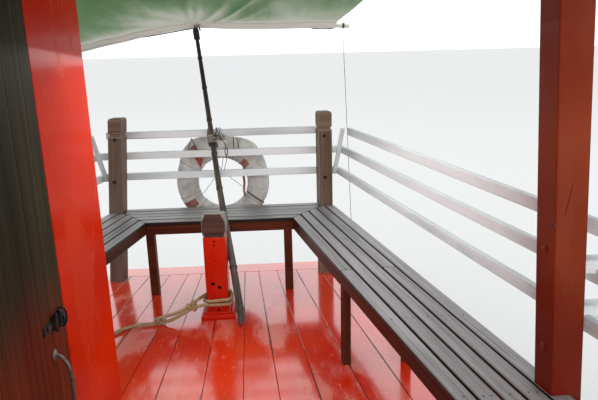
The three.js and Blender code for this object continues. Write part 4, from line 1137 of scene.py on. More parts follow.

# %% [markdown]
# Cloth simulation could pull the sheet tight, but a stretched sheet barely moves, and what shows are the creases
# that spread from the pole's head. So each fold is a line on the sheet, with a ridge on one side and a hollow on
# the other. The same function also says how pale each point is: the sun has bleached the cloth near the hem, each
# ridge gets a painted highlight and each hollow painted shade, and one patch to starboard is painted shade too.

# %% Folds, their painted highlights and shade, and bleached cloth
FOLDS = [
    (0.018, 0.017, [(-0.150, 6.800), (-0.020, 6.737), (0.082, 6.547), (0.170, 6.352), (0.300, 6.080), (0.42, 5.80)]),
    (0.011, 0.018, [(-0.145, 6.790), (-0.094, 6.732), (-0.012, 6.522), (0.065, 6.307), (0.150, 6.060)]),
    (0.008, 0.016, [(-0.155, 6.790), (-0.136, 6.690), (-0.098, 6.447), (-0.079, 6.257), (-0.077, 5.950)]),
    (0.008, 0.015, [(-0.160, 6.790), (-0.170, 6.640), (-0.142, 6.357), (-0.115, 6.107), (-0.10, 5.95)]),
    (0.006, 0.020, [(-0.120, 6.805), (0.043, 6.790), (0.155, 6.640), (0.305, 6.380), (0.40, 6.15)]),
    (0.007, 0.028, [(-0.180, 6.780), (-0.300, 6.560), (-0.420, 6.330), (-0.520, 6.080)]),
    (0.006, 0.026, [(-0.200, 6.790), (-0.400, 6.690), (-0.600, 6.560), (-0.760, 6.380)]),
]


def off_fold(x, y, points):
    """Distance from a fold's line, negative on one side, and how far along the line as a share."""
    best, spot = None, Vector((x, y))
    for k, (a, b) in enumerate(zip(points, points[1:])):
        a, b = Vector(a), Vector(b)
        t = min(max((spot - a).dot(b - a) / (b - a).length_squared, 0), 1)
        d = spot - a.lerp(b, t)
        signed = math.copysign(d.length, (b - a).x * d.y - (b - a).y * d.x)
        if best is None or abs(signed) < abs(best[0]):
            best = (signed, (k + t) / (len(points) - 1))
    return best


def creases(x, y):
    """How far the cloth stands off its smooth curve, and how pale it is: bleaching plus painted highlight and shade."""
    back = SPAR_Y - y
    wander = noise.noise(Vector((x * 2.1, y * 2.1, 3.0)))
    height, tone = 0.0, 0.0
    for deep, wide, points in FOLDS:
        d, share = off_fold(x, y, points)
        d /= wide * (1 + 1.6 * share)
        if abs(d) < 3.5:
            fade = math.sin(math.pi * min(share + 0.12, 1)) ** 0.5 if share < 0.88 else (1 - share) / 0.12
            height += deep * fade * 1.6 * d * math.exp(-d * d)
            # Painted highlight on the ridge's side of the fold and painted shade on the hollow's side.
            tone += fade * deep * 20 * (math.exp(-((d - 0.5) ** 2) * 2) - 0.8 * math.exp(-((d + 0.8) ** 2) * 2))
    away = Vector((x - POLE_HEAD.x, back))
    angle = math.atan2(away.x, away.y + 1e-6)
    fan = math.sin(angle * 11 + wander * 2.2) + 0.6 * math.sin(angle * 23 + 1.3 + wander * 3.0)
    height += fan * 0.0022 * math.exp(-away.length / 0.55) * min(away.length / 0.10, 1)
    height += 0.004 * math.sin(x * 31 + 2 * wander) * math.exp(-back / 0.22) * min(back / 0.05, 1)
    height += 0.016 * noise.noise(Vector((x * 1.7, y * 0.9, 0.4))) * min(back / 0.3, 1)
    # A paler patch just to port of the pole's head, and a patch of painted shade to starboard.
    head = math.exp(-(((x + 0.33) / 0.24) ** 2 + ((back - 0.16) / 0.30) ** 2))
    shade = math.exp(-(((x - 0.24) / 0.10) ** 2 + ((back - 0.36) / 0.24) ** 2))
    cloudy = noise.noise(Vector((x * 3.3, y * 2.2, 9.0))) + 0.5 * noise.noise(Vector((x * 9.0, y * 5.0, 2.0)))
    pale = 0.80 - back / 1.15 + 0.34 * head - 0.16 * shade + 0.18 * cloudy + 0.10 * max(x, 0) + tone
    pale += 0.35 * math.exp(-(((back - 0.055) / 0.045) ** 2)) - 0.30 * math.exp(-back / 0.018)
    pale -= 0.42 * max(-x - 0.42, 0) * min(back / 0.2, 1) + 0.25 * max(-x - 0.55, 0)
    return height, pale


print("the awning has", len(FOLDS), "folds")

# %% [markdown]
# A fine grid takes the sheet's own curve with those folds on it. The front edge wraps round the pipe and back
# under, as a sewn sleeve does. Each vertex stores how pale it is and how near the sewn edge, for the shader.

# %% The awning's sheet
SHEET_ACROSS, SHEET_BACK, SHEET_THICK = 210, 100, 0.0012
SLEEVE_CLEAR = 0.0022
SLEEVE_STEPS, SLEEVE_TURN, SLEEVE_R = 9, math.radians(200), SPAR_R + SLEEVE_CLEAR
SLEEVE_ROWS = ((0.034, 0.0018), (0.030, 0.006), (0.024, 0.013), (0.017, 0.020))


def awning_point(u, v):
    """The sheet's point at a share of its width and of its length, and how pale it is."""
    x0, x1 = (start + (end - start) * u for start, end in (AWNING_FRONT, AWNING_BACK))
    front = Vector((x0, SPAR_Y, spar_z(x0) + SPAR_R + SLEEVE_CLEAR))
    back = Vector((x1, AWNING_BACK_Y, AWNING_BACK_Z + AWNING_ARCH * (1 - (x1 / ROOF_REF) ** 2)))
    p = front.lerp(back, v)
    p.z -= AWNING_SAG * 4 * v * (1 - v) * (0.6 + 0.4 * math.sin(math.pi * u))
    height, pale = creases(p.x, p.y)
    p.z += height * min(v / 0.02, 1) * min((1 - v) / 0.05, 1)
    side_pull = 0.018 * math.sin(math.pi * v) * (2 * u - 1) ** 8
    p.x -= math.copysign(side_pull, u - 0.5)
    return p, pale


def sleeve_point(u, k):
    """The sleeve's ring: from the top of the pipe round its front, then back under it."""
    x = AWNING_FRONT[0] + (AWNING_FRONT[1] - AWNING_FRONT[0]) * u
    turn = SLEEVE_TURN * k / SLEEVE_STEPS
    return Vector((x, SPAR_Y, spar_z(x))) + Vector((0, math.sin(turn), math.cos(turn))) * SLEEVE_R


def add_sheet(bm, rows):
    """Faces between rows of vertices that don't close."""
    for one, two in zip(rows, rows[1:]):
        for corners in zip(one, one[1:], two[1:], two):
            bm.faces.new(corners)


def awning():
    bm = new_boards()
    long = SPAR_Y - AWNING_BACK_Y
    across = [k / SHEET_ACROSS for k in range(SHEET_ACROSS + 1)]
    rows = []
    for reach, drop in SLEEVE_ROWS:
        line = [awning_point(u, reach / long) for u in across]
        rows.append([(p - Vector((0, 0, drop)), 0.0, pale, 1.0) for p, pale in line])
    for k in range(SLEEVE_STEPS, 0, -1):
        rows.append([(sleeve_point(u, k), 0.0, 1.0, 1.0) for u in across])
    for j in range(SHEET_BACK + 1):
        v = (j / SHEET_BACK) ** 1.5
        sewn = max(1 - v * long / 0.05, 0.0)
        rows.append([(p, v * long, pale, sewn) for p, pale in (awning_point(u, v) for u in across)])
    add_sheet(bm, [
        add_ring(bm, [(p, Vector((p.x, back, min(max(pale, 0.0), 1.0))), sewn) for p, back, pale, sewn in row])
        for row in rows
    ])
    piece = finish_piece("awning_sheet", bm, "root", AWNING, 60)
    solid = piece.modifiers.new("thickness", "SOLIDIFY")
    solid.thickness, solid.offset = SHEET_THICK, 0
    return piece


sheet = awning()
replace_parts(sheet, "canopy")

# %% [markdown]
# A dark cord below the hem in two places is painted shade along the hem's underside, and lacing holds the back
# edge to the roof's front beam. The pipe is a plain round piece.

# %% The awning's painted hem shade, lacing and pipe
HEM_SHADE_SPANS, LACINGS = ((-0.53, -0.15), (0.64, 0.80)), 15


def hem_shade_cord():
    """A dark cord below the sleeve in two places, as painted shade along the hem's underside."""
    bm = new_boards()
    for start, end in HEM_SHADE_SPANS:
        line = []
        for k in range(41):
            x = start + (end - start) * k / 40
            shown = math.sin(math.pi * k / 40) ** 0.5
            line.append(Vector((x, SPAR_Y + 0.002, spar_z(x) - SPAR_R - 0.0010 - 0.0065 * shown)))
        add_round(bm, line, 0.0034, 8)
    return finish_piece("awning_hem_painted_shade", bm, "root", DARK_TWINE, 60)


def awning_lacing():
    """Lacing that holds the back edge to the roof's front beam."""
    bm = new_boards()
    stitch = [(0, 0.012, -0.004), (0.006, -0.012, 0.008), (0.012, -0.024, 0.014), (0.018, -0.014, -0.010)]
    stitch += [(0.020, 0.008, -0.005)]
    for k in range(LACINGS):
        p = awning_point((k + 0.5) / LACINGS, 0.985)[0]
        add_cord(bm, [p + Vector(off) for off in stitch], 0.006, 0.0022, 6)
    return finish_piece("awning_lacing", bm, "root", TWINE, 60)


hem_shade_cord()
awning_lacing()
pipe = new_boards()
add_cord(pipe, [(x, SPAR_Y, z) for x, z in SPAR_LINE], 0.05, SPAR_R, 20)
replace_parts(finish_piece("awning_pipe", pipe, "root", TRIM_PAINT, 40), "canopy_spar")

# %% [markdown]
# The pole is a length of cane with its foot on the deck by the bitt. Cane swells at each joint, where a thin ring
# stands out above a slight groove, and it tapers a little. The foot is cut at a slant and stands on its edge.

# %% The cane pole
CANE_JOINTS = [0.11, 0.36, 0.62, 0.87, 1.11, 1.36, 1.61, 1.85, 2.03]
POLE_BEND = [(0.0, 0.0), (0.15, -0.003), (0.40, -0.015), (0.70, -0.0135), (1.0, -0.0145)]
CANE_SIZES = [(0.0, 0.0215), (0.6, 0.0162), (1.0, 0.0132)]


def read_table(table, t):
    for (a, one), (b, two) in zip(table, table[1:]):
        if t <= b:
            return one + (two - one) * max(t - a, 0) / (b - a)
    return table[-1][1]


def pole_point(t):
    return POLE_FOOT.lerp(POLE_HEAD, t) + Vector((read_table(POLE_BEND, t), 0, 0))


pole_long = (POLE_HEAD - POLE_FOOT).length


def cane_radius(run, angle):
    r = read_table(CANE_SIZES, run / pole_long)
    groove = 0.0
    for joint in CANE_JOINTS:
        d = run - joint
        r += 0.0026 * math.exp(-((d / 0.011) ** 2)) - 0.0014 * math.exp(-(((d + 0.02) / 0.010) ** 2))
        groove = max(groove, math.exp(-((d / 0.007) ** 2)))
    r *= 1 + 0.03 * math.cos(2 * angle + run * 0.8) + 0.012 * math.sin(5 * angle + run * 2.1)
    return r, groove


pole = new_boards()
pole_way = (POLE_HEAD - POLE_FOOT).normalized()
add_cord(pole, [pole_point(k / 12) - pole_way * (0 if k else 0.02) for k in range(13)], 0.006, cane_radius, 20)
for spot, way in (
    ((POLE_FOOT.x - 0.020, POLE_FOOT.y, DECK_TOP + 0.002), (-0.70, 0.25, 0.67)),
    ((0, 0, DECK_TOP + 0.001), (0, 0, 1)),
):
    bmesh.ops.bisect_plane(
        pole, geom=pole.verts[:] + pole.edges[:] + pole.faces[:], plane_co=spot, plane_no=way, clear_inner=True
    )
    bmesh.ops.holes_fill(pole, edges=[e for e in pole.edges if len(e.link_faces) == 1])
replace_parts(finish_piece("cane_pole", pole, "root", CANE, 50), "canopy_pole")

# %% [markdown]
# The pole is lashed where it crosses the top rail, with worn rope and a few turns of dark string. A square lashing
# goes over the pole, behind the rail and back, so each turn is one closed loop through eight points. Cord of two
# strands is made by the same functions as the mooring rope.

# %% The pole's lashing
RAIL_MID_Z = 1.5595
LASHED_AT, KNOT_OFF = 1.542, Vector((0.026, -0.022, 0.006))
KNOT_ENDS = [
    [
        (0, 0, 0), (0.014, -0.006, 0.014), (0.030, -0.004, 0.010), (0.036, 0, -0.012), (0.022, -0.004, -0.018),
        (0.006, 0, -0.004),
    ],
    [(0, 0, 0), (0.012, -0.008, -0.012), (0.030, -0.008, -0.012), (0.044, -0.004, 0.004), (0.058, 0.002, 0.002)],
    [(0, 0, 0), (-0.020, -0.010, -0.012), (-0.050, -0.004, -0.006)],
]


def pole_at(z):
    return pole_point((z - POLE_FOOT.z) / (POLE_HEAD.z - POLE_FOOT.z))


def lashing_turn(shift, rise, mirrored, fat=0.0030):
    """One loop that goes over the pole and round behind the rail, crossing from one side to the other."""
    m = -1 if mirrored else 1
    front = pole_at(1.545 + rise)
    ring = [
        (0, front.y - 0.0190 - fat, front.z), (m * (0.021 + fat), front.y + 0.006, 1.556 + rise),
        (m * 0.026, 6.350, 1.587 + fat), (m * 0.021, 6.392 + fat, 1.585), (0, 6.392 + fat, RAIL_MID_Z),
        (-m * 0.021, 6.392 + fat, 1.533), (-m * 0.026, 6.350, 1.531 - fat),
        (-m * (0.021 + fat), front.y, 1.535 + rise),
    ]
    return [Vector((front.x + x + shift, y, z)) for x, y, z in ring]


def pole_turn(spot, tilt, reach, count=20, lean=0.0):
    """One turn of cord about the pole, tilted to one side."""
    reaches = reach if isinstance(reach, tuple) else (reach, reach)
    return ring_about(spot, pole_way + Vector((tilt, 0, 0)), *reaches, count, lean)


lashing, knot_at = new_boards(), pole_at(LASHED_AT) + KNOT_OFF
for k in range(3):
    loop = lashing_turn(0.003 * (k - 1), 0.010 * (k - 1), k % 2 == 0)
    add_loop(lashing, loop, 0.004, strands(0.0046, 2), 10, 90)
for k in range(4):
    spot = pole_at(1.513 + 0.0115 * k) + Vector((0, -0.003, 0))
    loop = pole_turn(spot, 0.12 * (-1) ** k, (0.0245, 0.0255), 24, 0.003)
    add_loop(lashing, loop, 0.004, strands(0.0066, 2), 10, 90)
for line in KNOT_ENDS:
    add_cord(lashing, [knot_at + Vector(p) for p in line], 0.004, strands(0.0046, 2), 10, 90)
finish_piece("pole_lashing", lashing, "root", TWINE, 60)

# %% [markdown]
# Loose ends of dark string hang from the knot with a small clip, and more turns of it hold the pole's head to the
# pipe. A thin stay comes down from the awning's corner to the deck, and sags a little under its own weight.

# %% Loose strings and the stay
LOOSE_STRING = [
    [
        (0, 0, 0), (0.006, -0.006, 0.030), (0.016, -0.006, 0.050), (0.032, -0.004, 0.056), (0.026, -0.006, 0.034),
        (0.012, 0, 0.004),
    ],
    [
        (-0.004, 0, 0), (-0.002, -0.008, 0.024), (0.010, -0.008, 0.036), (0.020, -0.006, 0.020),
        (0.022, -0.004, -0.004),
    ],
    [
        (0.004, 0, 0), (0.024, -0.008, 0.022), (0.046, -0.006, 0.012), (0.050, -0.004, -0.006),
        (0.036, -0.002, -0.014),
    ],
    [(0.010, 0, 0), (0.020, -0.010, -0.010), (0.040, -0.008, -0.020), (0.062, 0, -0.012)],
    [(0.012, -0.002, 0), (0.030, -0.010, -0.006), (0.052, -0.006, -0.040), (0.060, 0.006, -0.072)],
    [
        (0, -0.004, 0), (0.010, -0.012, 0.010), (0.026, -0.012, 0.006), (0.030, -0.008, -0.010),
        (0.016, -0.010, -0.012),
    ],
]
CLIP_AT = Vector((0.060, 0.006, -0.072))
CLIP = [(0, 0), (0.007, -0.012), (0.007, -0.036), (0, -0.050), (-0.007, -0.036), (-0.007, -0.012)]
STRING_END = [(0, -0.046), (-0.002, -0.080), (-0.010, -0.110), (-0.020, -0.146)]
STAY_TOP, STAY_FOOT = Vector((0.860, SPAR_Y, 2.206)), Vector((0.850, 6.232, DECK_TOP + 0.004))
STAY_R, STAY_STEPS = 0.0016, 40


def loose_strings():
    dark = new_boards()
    for line in LOOSE_STRING:
        add_cord(dark, [knot_at + Vector(p) for p in line], 0.004, 0.0022, 8)
    clip_top = knot_at + CLIP_AT
    add_loop(dark, [clip_top + Vector((x, 0, z)) for x, z in CLIP], 0.003, 0.0030, 8)
    add_cord(dark, [clip_top + Vector((x, 0, z)) for x, z in STRING_END], 0.005, 0.0018, 6)
    for z in (1.497, 1.5015):
        add_loop(dark, pole_turn(pole_at(z) + Vector((0.002, -0.004, 0)), 0.25, 0.0265), 0.005, 0.0032)
    for k in range(9):
        add_loop(dark, pole_turn(pole_at(2.212 - 0.0065 * k), 0.1 * (-1) ** k, 0.0182), 0.005, 0.0036)
    for k in range(3):
        loop = ring_about((POLE_HEAD.x - 0.022 + 0.016 * k, SPAR_Y - 0.002, 2.238), (1, 0.2, 0.3), 0.030, 0.026, 20)
        add_loop(dark, loop, 0.005, 0.0030)
    finish_piece("pole_dark_string", dark, "root", DARK_TWINE, 60)


def awning_stay():
    stay, line = new_boards(), []
    for k in range(STAY_STEPS + 1):
        t = k / STAY_STEPS
        line.append(STAY_TOP.lerp(STAY_FOOT, t) + Vector((0, 0, -0.012 * math.sin(math.pi * k / STAY_STEPS))))
    add_round(stay, line, STAY_R, 8)
    for k in range(4):
        loop = ring_about((0.858 + 0.004 * k, SPAR_Y, spar_z(0.86)), (1, 0, 0), 0.0168, 0.0168, 16)
        add_loop(stay, loop, 0.005, STAY_R)
    finish_piece("awning_stay", stay, "root", DARK_TWINE, 60)


loose_strings()
awning_stay()

# %% [markdown]
# A life ring of cork or foam is covered with canvas, sewn shut along the inner edge and gathered in four places by
# bands. Two lines cross its middle. A torus would be too smooth: the section here is an oval, pulled in at the
# bands, with puckers along the seams and shallow dents between them.

# %% The life ring
RING_CENTRE = Vector((0, 6.4353, 1.22))
RING_MEAN, RING_ACROSS, RING_DEEP = 0.236, 0.073, 0.052
RING_STEPS, RING_SIDES = 192, 40
RING_BANDS, BAND_WIDE = [math.radians(a) for a in (41, 131, 212, 332)], 0.13
SHOULDERS, SHOULDER_WIDE = ((2.22, 0.040), (0.84, 0.026)), 0.36


def near_band(angle):
    return min(abs((angle - band + math.pi) % (2 * math.pi) - math.pi) for band in RING_BANDS)


def ring_point(angle, turn):
    dents = noise.noise(Vector((math.cos(angle) * 1.6, math.sin(angle) * 1.6, math.cos(turn) * 0.8 + 5)))
    pucker = math.sin(angle * 46) * math.exp(-((math.cos(turn) + 0.92) / 0.18) ** 2)
    band = near_band(angle)
    pull = math.exp(-((band / (BAND_WIDE / 2)) ** 4))
    fold = math.exp(-(((band - BAND_WIDE * 0.62) / 0.018) ** 2))
    fat = 1 + 0.035 * dents - 0.055 * pull - 0.03 * fold + 0.02 * pucker
    shoulders = sum(high * math.exp(-(((angle - at) / SHOULDER_WIDE) ** 2)) for at, high in SHOULDERS)
    outer = 0.985 if math.cos(turn) > 0 else 1
    r = RING_MEAN + shoulders * (0.5 + 0.5 * math.cos(turn)) + RING_ACROSS * fat * math.cos(turn) * outer
    y = RING_DEEP * fat * math.sin(turn) * 0.99
    return RING_CENTRE + Vector((r * math.cos(angle), y, r * math.sin(angle))), pull


def ring_middle(angle):
    """The middle of the tube at an angle round the ring."""
    return RING_CENTRE + Vector((math.cos(angle), 0, math.sin(angle))) * RING_MEAN


ring_mesh = new_boards()
rows = []
for i in range(RING_STEPS):
    angle = 2 * math.pi * i / RING_STEPS
    points = []
    for j in range(RING_SIDES):
        turn = 2 * math.pi * j / RING_SIDES
        p, pull = ring_point(angle, turn)
        points.append((p, Vector((abs(angle - math.pi) * RING_MEAN, abs(turn - math.pi) * 0.06, 0)), pull))
    rows.append(add_ring(ring_mesh, points))
for a, b in zip(rows, rows[1:] + rows[:1]):
    for corners in zip(a, b, b[1:] + b[:1], a[1:] + a[:1]):
        ring_mesh.faces.new(corners)
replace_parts(finish_piece("life_ring_canvas", ring_mesh, "root", CANVAS, 80), "life_ring")

# %% [markdown]
# The ring carries its tackle: a red strap at each lower gather, another that hangs frayed from the inner edge, a loop
# of dark cord, a red pennant and thin lines across the opening. A strap is a patch of the ring's own surface between
# two angles, lifted by the cloth's thickness, so it follows every dent.

# %% The life ring's straps and lines


STRIP_STEPS, STRIP_ACROSS, STRIP_LIFT = 8, 32, 0.0022


def ring_strip(bm, start, end, low, high):
    """A strap round the tube between two angles of the ring, in degrees, and two turns of the tube, in radians."""
    shift = somewhere()
    rows = []
    for i in range(STRIP_STEPS + 1):
        angle = math.radians(start + (end - start) * i / STRIP_STEPS)
        points = []
        for j in range(STRIP_ACROSS + 1):
            turn = low + (high - low) * j / STRIP_ACROSS
            p = ring_point(angle, turn)[0]
            up = STRIP_LIFT + 0.0010 * noise.noise(p * 60) if 0 < i < STRIP_STEPS else -0.001
            weave = Vector((turn * 0.06, (angle - start) * RING_MEAN, 0)) + shift
            points.append((p + (p - ring_middle(angle)).normalized() * up, weave, 0.0))
        rows.append(add_ring(bm, points))
    add_sheet(bm, rows)


def beside_ring(x, z, out=0.0):
    return RING_CENTRE + Vector((x, -out, z))


HANGING_STRAP = [
    (0.166, 0.140), (0.146, 0.100), (0.138, 0.050), (0.143, 0.000), (0.137, -0.050), (0.140, -0.086),
]
STRAP_OUT, FRAYS = 0.040, 6
FLAG, FLAG_OUT, FLAG_THICK = [(-0.172, 0.176), (-0.118, 0.172), (-0.137, 0.108)], 0.052, 0.0014
straps = new_boards()
for strip in ((206, 220, -1.9, 0.8), (123, 134, -2.0, -0.9), (33, 49, 2.0, 4.4)):
    ring_strip(straps, *strip)
for k, (a, b) in enumerate(zip(HANGING_STRAP, HANGING_STRAP[1:])):
    across = (0.0095 - 0.0006 * k, 0, 0)
    add_plank(straps, beside_ring(*a, STRAP_OUT), beside_ring(*b, STRAP_OUT), across, (0, 0.0008, 0), 0.0003)
for k in range(FRAYS):
    start = beside_ring(0.134 + 0.0024 * k, -0.084, STRAP_OUT)
    fall = Vector((rng.uniform(-0.003, 0.003), 0, -0.010 - rng.uniform(0, 0.012)))
    add_round(straps, [start, start + fall], 0.0006, 5)
finish_piece("life_ring_straps", straps, "root", RED_STRAP, 60)
pennant, flag = new_boards(), []
for side in (0, 1):
    corners = [beside_ring(x, z, FLAG_OUT + FLAG_THICK * side) for x, z in FLAG]
    face = add_ring(pennant, [(p, p, 0.0) for p in corners])
    pennant.faces.new(face if side else face[::-1])
    flag += face
for k in range(3):
    pennant.faces.new((flag[k], flag[(k + 1) % 3], flag[3 + (k + 1) % 3], flag[3 + k]))
finish_piece("life_ring_pennant", pennant, "root", PENNANT)

ACROSS_LINES = [
    [(0.014, 0.178), (0.006, 0.150), (-0.007, 0.095), (-0.075, 0.007), (-0.129, -0.061), (-0.200, -0.128)],
    [(-0.056, 0.160), (-0.041, 0.143), (-0.012, 0.098), (0.048, 0.034), (0.122, -0.027), (0.140, -0.045)],
]
HANGERS = [
    ((-0.184, 0.306), (-0.222, 0.214), 0.0028), ((-0.184, 0.306), (-0.150, 0.214), 0.0028),
    ((0.085, 0.310), (0.086, 0.214), 0.0028), ((0.108, 0.305), (0.122, 0.214), 0.0022),
]
TEAR = ((0.158, -0.066, 0.030), (0.205, -0.098, 0.052), (0.268, -0.145, 0.046))
ring_lines, dark_lines = new_boards(), new_boards()
for line in ACROSS_LINES:
    add_cord(dark_lines, [beside_ring(x, z, 0.020) for x, z in line], 0.01, 0.0017, 6)
for a, b, r in HANGERS:
    add_round(dark_lines, [beside_ring(*a, 0.050), beside_ring(*b, 0.052)], r, 8)
add_cord(dark_lines, [beside_ring(*p) for p in TEAR], 0.006, 0.0042, 8)
for angle in (math.radians(a) for a in (66, 150, 200, 225, 328)):
    centre = ring_middle(angle)
    turns = [ring_point(angle, 2 * math.pi * k / 30)[0] for k in range(30)]
    add_loop(ring_lines, [centre + (p - centre) * 1.012 for p in turns], 0.006, 0.0020)
finish_piece("life_ring_lines", ring_lines, "root", TWINE, 60)
finish_piece("life_ring_dark_lines", dark_lines, "root", DARK_TWINE, 60)

# %% [markdown]
# Bolts, knobs, caps and pulleys are turned shapes. A cylinder would be a plain stand-in, so each one is a profile of
# radius and height spun about its own axis, with a dome, a rim or a groove where the real one has it.

# %% Turned shapes


def add_turned(bm, foot, axis, profile, sides=14):
    """Rings of (radius, height) about an axis through foot, closed at both ends."""
    foot, axis = Vector(foot), Vector(axis).normalized()
    out = axis.orthogonal().normalized()
    up = axis.cross(out)
    rings = []
    for radius, height in profile:
        points = []
        for s in range(sides):
            angle = 2 * math.pi * s / sides
            away = out * math.cos(angle) + up * math.sin(angle)
            spot = Vector((angle * radius, radius, height)) + foot
            points.append((foot + axis * height + away * radius, spot, 0.0))
        rings.append(add_ring(bm, points))
    add_skin(bm, rings)


WASHER = 1.5


def add_bolt(bm, foot, axis, size):
    """A washer and a low domed head."""
    washer = [(size * WASHER, -0.001), (size * WASHER, 0.0012), (size * 1.35, 0.0018)]
    dome = [(size, 0.0018), (size, 0.0035), (size * 0.75, 0.0055), (size * 0.35, 0.0064)]
    add_turned(bm, foot, axis, washer + dome, 12)


def add_nail(bm, foot, axis, size):
    add_turned(bm, foot, axis, [(size, -0.001), (size, 0.0004), (size * 0.6, 0.0009)], 8)


print("a washer is", WASHER, "times as wide as the bolt in it")

# %% [markdown]
# The deckhouse is a small room of upright boards on the port side. Its inner wall is the bright red panel beside the
# camera, smooth with many coats. The other walls show V-grooves between their boards. The copy of each packed wall
# is cut along three close planes at each seam, and the middle line is pushed in.

# %% Grooved walls
WALL_BOARD = 0.118
WALL_GROOVE = (0.0018, 0.0035)


def cut_grooves(bm, across, places, out, half, deep):
    """V-grooves on the faces that look along out or back, where the axis across has the given places."""
    across, out = Vector(across), Vector(out)
    for place in places:
        for step in (-half, 0.0, half):
            everything = bm.verts[:] + bm.edges[:] + bm.faces[:]
            bmesh.ops.bisect_plane(bm, geom=everything, dist=1e-6, plane_co=across * (place + step), plane_no=across)
    bm.normal_update()
    for v in bm.verts:
        if any(abs(v.co.dot(across) - place) < 1e-5 for place in places):
            facing = max((f.normal.dot(out) for f in v.link_faces), key=abs)
            if abs(facing) > 0.9:
                v.co -= out * math.copysign(deep, facing)


def dress_grooved(node, material, across, places, out, width=CHAMFER, groove=WALL_GROOVE):
    """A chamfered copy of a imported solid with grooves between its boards."""
    bm = copy_of(node)
    mark = bm.faces.layers.int.new("chamfer")
    for face in chamfered(bm, width):
        face[mark] = 1
    cut_grooves(bm, across, places, out, *groove)
    bm.faces.index_update()
    store_grain(bm, {face for face in bm.faces if face[mark]})
    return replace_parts(finish_piece(node + "_boards", bm, NODES[node]["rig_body"], material), node)


HOUSE_AFT_Y, HOUSE_FRONT_Y = 2.9, 4.765
HOUSE_IN_X, WALL = -0.320, 0.035
along_wall = [HOUSE_AFT_Y + WALL_BOARD * k for k in range(1, 16)]
across_wall = [-1.26 + WALL_BOARD * k for k in range(8)]
dress("house_wall_inner", PANEL_PAINT, 0.002)
dress_grooved("house_wall_outer", PANEL_PAINT, (0, 1, 0), along_wall, (1, 0, 0))
for end in ("front", "aft"):
    dress_grooved(f"house_wall_{end}", PANEL_PAINT, (1, 0, 0), across_wall, (0, 1, 0))
print("walls of", len(along_wall) + 1, "boards along and", len(across_wall) + 1, "across")

# %% [markdown]
# Each window is an opening with a white casing, mitred plainly, and a sill that stands proud and sheds water; the
# front window has them on both faces, the side window on its outer face. Rails of thin wood at the wall's foot and
# head keep the boards in line. All of these are small planks.

# %% Window casings and wall battens
CASING_WIDE, CASING_THICK = 0.045, 0.012
FRONT_WINDOW, SIDE_WINDOW = (-0.9, -0.5), (3.35, 4.30)
WINDOW_ZS = (1.55, 2.15)
HOUSE_OUT_Y = (HOUSE_AFT_Y, HOUSE_FRONT_Y)
BATTENS, BATTEN_THICK = ((0.66, 0.055), (2.56, 0.05)), 0.007


def outer_face(y, out=0.0):
    """A plan point on the deckhouse's outer face, which is straight from corner to corner."""
    ends = [Vector((0.060 - beam(end), end)) for end in HOUSE_OUT_Y]
    return ends[0].lerp(ends[1], (y - HOUSE_OUT_Y[0]) / (HOUSE_OUT_Y[1] - HOUSE_OUT_Y[0])) - Vector((out, 0))


def add_casing(bm, place, wide_dir, out_dir, left, right):
    """Four planks round a window. place gives the face's point at a distance along it."""
    low, high = WINDOW_ZS
    half, thick = CASING_WIDE / 2, Vector(out_dir) * CASING_THICK / 2
    up = Vector((0, 0, half))
    for z in (low - half, high + half):
        ends = [place(s) + thick + Vector((0, 0, z)) for s in (left - CASING_WIDE, right + CASING_WIDE)]
        add_plank(bm, ends[0], ends[1], up, thick)
    for s in (left - half, right + half):
        ends = [place(s) + thick + Vector((0, 0, z)) for z in (low, high)]
        add_plank(bm, ends[0], ends[1], Vector(wide_dir) * half, thick)
    sill = [place(s) + thick * 2.4 + Vector((0, 0, low - 0.004)) for s in (left - 0.02, right + 0.02)]
    add_plank(bm, sill[0], sill[1], thick * 2.4, (0, 0, 0.009))


casings = new_boards()
wall_way = (outer_face(HOUSE_FRONT_Y) - outer_face(HOUSE_AFT_Y)).normalized()
side_out = Vector((-wall_way.y, wall_way.x, 0))
add_casing(casings, lambda s: Vector((*outer_face(s), 0)), (*wall_way, 0), side_out, *SIDE_WINDOW)
for y, out in ((HOUSE_FRONT_Y, 1), (HOUSE_FRONT_Y - WALL, -1)):
    add_casing(casings, lambda s, y=y: Vector((s, y, 0)), (1, 0, 0), (0, out, 0), *FRONT_WINDOW)
finish_piece("window_casings", casings, "root", TRIM_PAINT)
battens = new_boards()
for z, tall in BATTENS:
    ends = [Vector((*outer_face(y, BATTEN_THICK), z)) for y in (HOUSE_AFT_Y + 0.004, HOUSE_FRONT_Y - 0.004)]
    add_plank(battens, *ends, (0, 0, tall), (BATTEN_THICK, 0, 0))
    for y in (HOUSE_AFT_Y - BATTEN_THICK, HOUSE_FRONT_Y + BATTEN_THICK):
        left = outer_face(min(max(y, HOUSE_AFT_Y), HOUSE_FRONT_Y)).x + 0.045
        add_plank(battens, (left, y, z), (HOUSE_IN_X - WALL - 0.004, y, z), (0, 0, tall), (0, BATTEN_THICK, 0))
finish_piece("wall_battens", battens, "root", POST_PAINT)

# %% [markdown]
# The door is of narrow dark boards, varnished long ago, with a painted olive-grey sheen above and redder wood below.
# Ledges on the room's side hold the boards together. The handle is a thin iron arc, rubbed bright by hands. All of
# them ride on the door's body, so that they turn with it.

